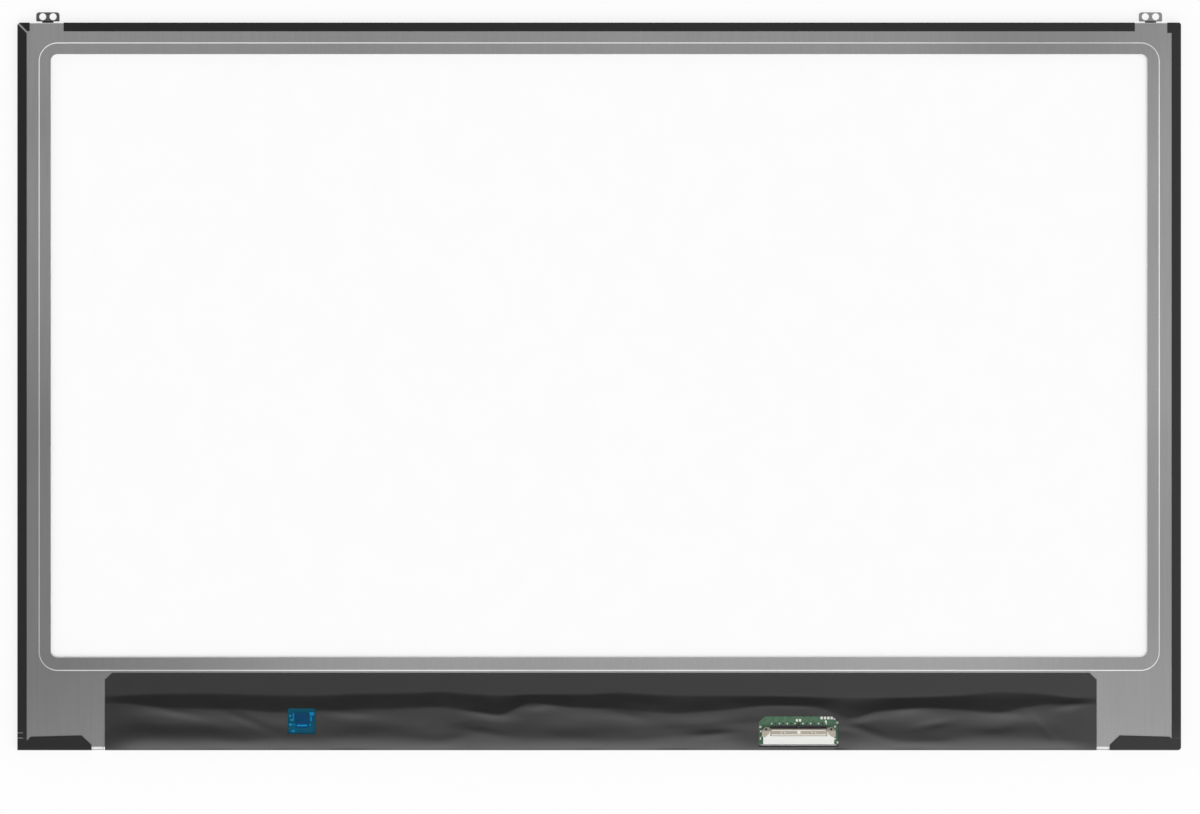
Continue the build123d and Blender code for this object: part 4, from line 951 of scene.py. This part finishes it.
# Handling haze in patches of about 5 mm keeps the gloss from being even.
haze = add_node(
    tree, "ShaderNodeTexNoise",
    {"Vector": place.outputs["Object"], "Scale": per_metre(5), "Detail": 3.0},
)
shade = add_node(tree, "ShaderNodeValToRGB", {"Fac": haze.outputs["Fac"]})
shade.color_ramp.elements[0].color = linear("#1C1C1C")
shade.color_ramp.elements[1].color = linear("#202020")
gloss = add_node(
    tree, "ShaderNodeMapRange", {"Value": haze.outputs["Fac"], "To Min": 0.16, "To Max": 0.24}
)
tree.links.new(shade.outputs["Color"], shader.inputs["Base Color"])
tree.links.new(gloss.outputs["Result"], shader.inputs["Roughness"])
cover.data.materials.append(cover_black)
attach(cover, "root")
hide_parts("cover_film")

# Edge and corner tapes: strips of thin matt black polyester tape, folded round the panel's edge from
# the glass to the plate's back.
tape_black, tree, shader = start_material("matt black polyester tape", IOR=1.42)
place = add_node(tree, "ShaderNodeTexCoord")
# Printed matting of about 0.3 mm, 0.02 mm deep.
matting_depth = 0.02
matting = add_node(
    tree, "ShaderNodeTexNoise",
    {"Vector": place.outputs["Object"], "Scale": per_metre(0.3), "Detail": 3.0},
)
shade = add_node(tree, "ShaderNodeValToRGB", {"Fac": matting.outputs["Fac"]})
shade.color_ramp.elements[0].color = linear("#131313")
shade.color_ramp.elements[1].color = linear("#191919")
dull = add_node(
    tree, "ShaderNodeMapRange", {"Value": matting.outputs["Fac"], "To Min": 0.42, "To Max": 0.56}
)
relief = add_node(
    tree, "ShaderNodeBump",
    {"Height": matting.outputs["Fac"], "Strength": 0.15, "Distance": matting_depth / 1000},
)
# Two creases have whitened the left tape near the edge: Y and half width of each, in millimetres.
crease_to_x = -156.3
spot = add_node(tree, "ShaderNodeSeparateXYZ", {"Vector": place.outputs["Object"]})
creased = 0.0
for crease_y, half_width in [(-94.0, 0.11), (-95.4, 0.13)]:
    line = add_node(
        tree, "ShaderNodeMath",
        {0: spot.outputs["Y"], 1: crease_y / 1000, 2: half_width / 1000},
        operation="COMPARE",
    )
    creased = add_node(
        tree, "ShaderNodeMath", {0: creased, 1: line.outputs["Value"]}, operation="ADD"
    ).outputs["Value"]
outside = add_node(
    tree, "ShaderNodeMath", {0: spot.outputs["X"], 1: crease_to_x / 1000}, operation="LESS_THAN"
)
white = add_node(
    tree, "ShaderNodeMath", {0: creased, 1: outside.outputs["Value"]}, operation="MULTIPLY"
)
# Painted light and shade: the black runs from darker on the left piece to paler on the right one, as
# the light falls, and both bottom corners are a little paler than the long sides: where each starts and
# ends, in millimetres, and its levels.
light_ramp_x, left_light, right_light = 160, 0.55, 1.6
paler_from_y, paler_to_y, paler_level = -90.0, -94.6, 1.6
light_and_pale = add_node(
    tree, "ShaderNodeMapRange",
    {
        "Value": spot.outputs["X"],
        "From Min": -light_ramp_x / 1000, "From Max": light_ramp_x / 1000,
        "To Min": left_light, "To Max": right_light,
    },
)
pale = add_node(
    tree, "ShaderNodeMapRange",
    {
        "Value": spot.outputs["Y"],
        "From Min": paler_from_y / 1000, "From Max": paler_to_y / 1000,
        "To Min": 1.0, "To Max": paler_level,
    },
)
light_and_pale = add_node(
    tree, "ShaderNodeMath",
    {0: light_and_pale.outputs["Result"], 1: pale.outputs["Result"]},
    operation="MULTIPLY",
)
black = add_node(
    tree, "ShaderNodeVectorMath",
    {0: shade.outputs["Color"], "Scale": light_and_pale.outputs["Value"]},
    operation="SCALE",
)
tone = add_node(
    tree, "ShaderNodeMix",
    {mix_share: white.outputs["Value"], mix_a: black.outputs["Vector"], mix_b: linear("#707070")},
    data_type="RGBA",
)
tree.links.new(tone.outputs[mix_result], shader.inputs["Base Color"])
tree.links.new(dull.outputs["Result"], shader.inputs["Roughness"])
tree.links.new(relief.outputs["Normal"], shader.inputs["Normal"])
dress(
    tape_black, "left_edge_tape", "right_edge_tape", "top_edge_tape", "top_left_corner_tape",
    "bottom_left_corner_tape", "bottom_right_corner_tape",
)

# Studio: a pale table that shows white to the camera and keeps a faint shadow. It lies a hair below the
# picture face, so that the two never share a plane.
table_size, table_drop, table_glow, glow_share = 6.0, 0.03, 1.02, 0.8
bpy.ops.object.select_all(action="DESELECT")
bpy.ops.mesh.primitive_plane_add(size=table_size)
table = bpy.context.object
table.name = "table"
bpy.ops.object.mode_set(mode="EDIT")
bpy.ops.mesh.select_all(action="SELECT")
bpy.ops.transform.translate(value=(0, 0, -table_drop / 1000))
bpy.ops.object.mode_set(mode="OBJECT")
white_table, tree, shader = start_material(
    "white table", Base_Color=linear("#F2F2F2"), Roughness=0.9, Specular_IOR_Level=0.1
)
path = add_node(tree, "ShaderNodeLightPath")
seen = path.outputs["Is Camera Ray"]
for ray in ("Is Glossy Ray", "Is Transmission Ray"):
    seen = add_node(
        tree, "ShaderNodeMath", {0: seen, 1: path.outputs[ray]}, operation="MAXIMUM"
    ).outputs["Value"]
share = add_node(tree, "ShaderNodeMath", {0: seen, 1: glow_share}, operation="MULTIPLY")
glow = add_node(tree, "ShaderNodeEmission", {"Strength": table_glow})
lift = add_node(
    tree, "ShaderNodeMixShader",
    {0: share.outputs["Value"], 1: shader.outputs["BSDF"], 2: glow.outputs["Emission"]},
)
tree.links.new(lift.outputs["Shader"], tree.nodes["Material Output"].inputs["Surface"])
table.data.materials.append(white_table)

# Soft light: a bright band all round the horizon, and a broad glow from the near right side that
# fades to a dim far left. The camera itself sees plain white.
glow_side = (0.49, -0.87, 0.0)
glow_from, glow_to = -0.30, 0.80
far_light, near_light, horizon_light = 0.15, 2.38, 1.39
band_top, band_full = 0.62, 0.20
world = bpy.data.worlds.new("studio")
bpy.context.scene.world = world
world.use_nodes = True
tree = world.node_tree
place = add_node(tree, "ShaderNodeTexCoord")
toward = add_node(
    tree, "ShaderNodeVectorMath",
    {0: place.outputs["Generated"], 1: glow_side},
    operation="DOT_PRODUCT",
)
glow = add_node(
    tree, "ShaderNodeMapRange",
    {
        "Value": toward.outputs["Value"], "From Min": glow_from, "From Max": glow_to,
        "To Min": far_light, "To Max": near_light,
    },
    interpolation_type="SMOOTHSTEP",
)
height = add_node(tree, "ShaderNodeSeparateXYZ", {"Vector": place.outputs["Generated"]})
low = add_node(
    tree, "ShaderNodeMapRange",
    {"Value": height.outputs["Z"], "From Min": band_top, "From Max": band_full},
    interpolation_type="SMOOTHSTEP",
)
sky = add_node(
    tree, "ShaderNodeMix",
    {"Factor": low.outputs["Result"], "A": glow.outputs["Result"], "B": horizon_light},
)
path = add_node(tree, "ShaderNodeLightPath")
strength = add_node(
    tree, "ShaderNodeMix",
    {"Factor": path.outputs["Is Camera Ray"], "A": sky.outputs["Result"], "B": 1.0},
)
tree.links.new(strength.outputs["Result"], tree.nodes["Background"].inputs["Strength"])
tree.nodes["Background"].inputs["Color"].default_value = linear("#FFFFFF")

# Camera: straight above the panel's back, far enough to flatten the view. The width that it takes in is
# measured at the level of the plate.
view_width, view_centre, plate_level = 0.32556, (0.000217, -0.005589), 0.0022
camera = bpy.data.objects.new("camera", bpy.data.cameras.new("camera"))
bpy.context.scene.collection.objects.link(camera)
camera.data.lens = 135
camera.data.sensor_width = 36
camera_distance = view_width * camera.data.lens / camera.data.sensor_width
camera.location = (*view_centre, plate_level + camera_distance)
bpy.context.scene.camera = camera
bpy.context.scene.view_settings.view_transform = "Standard"
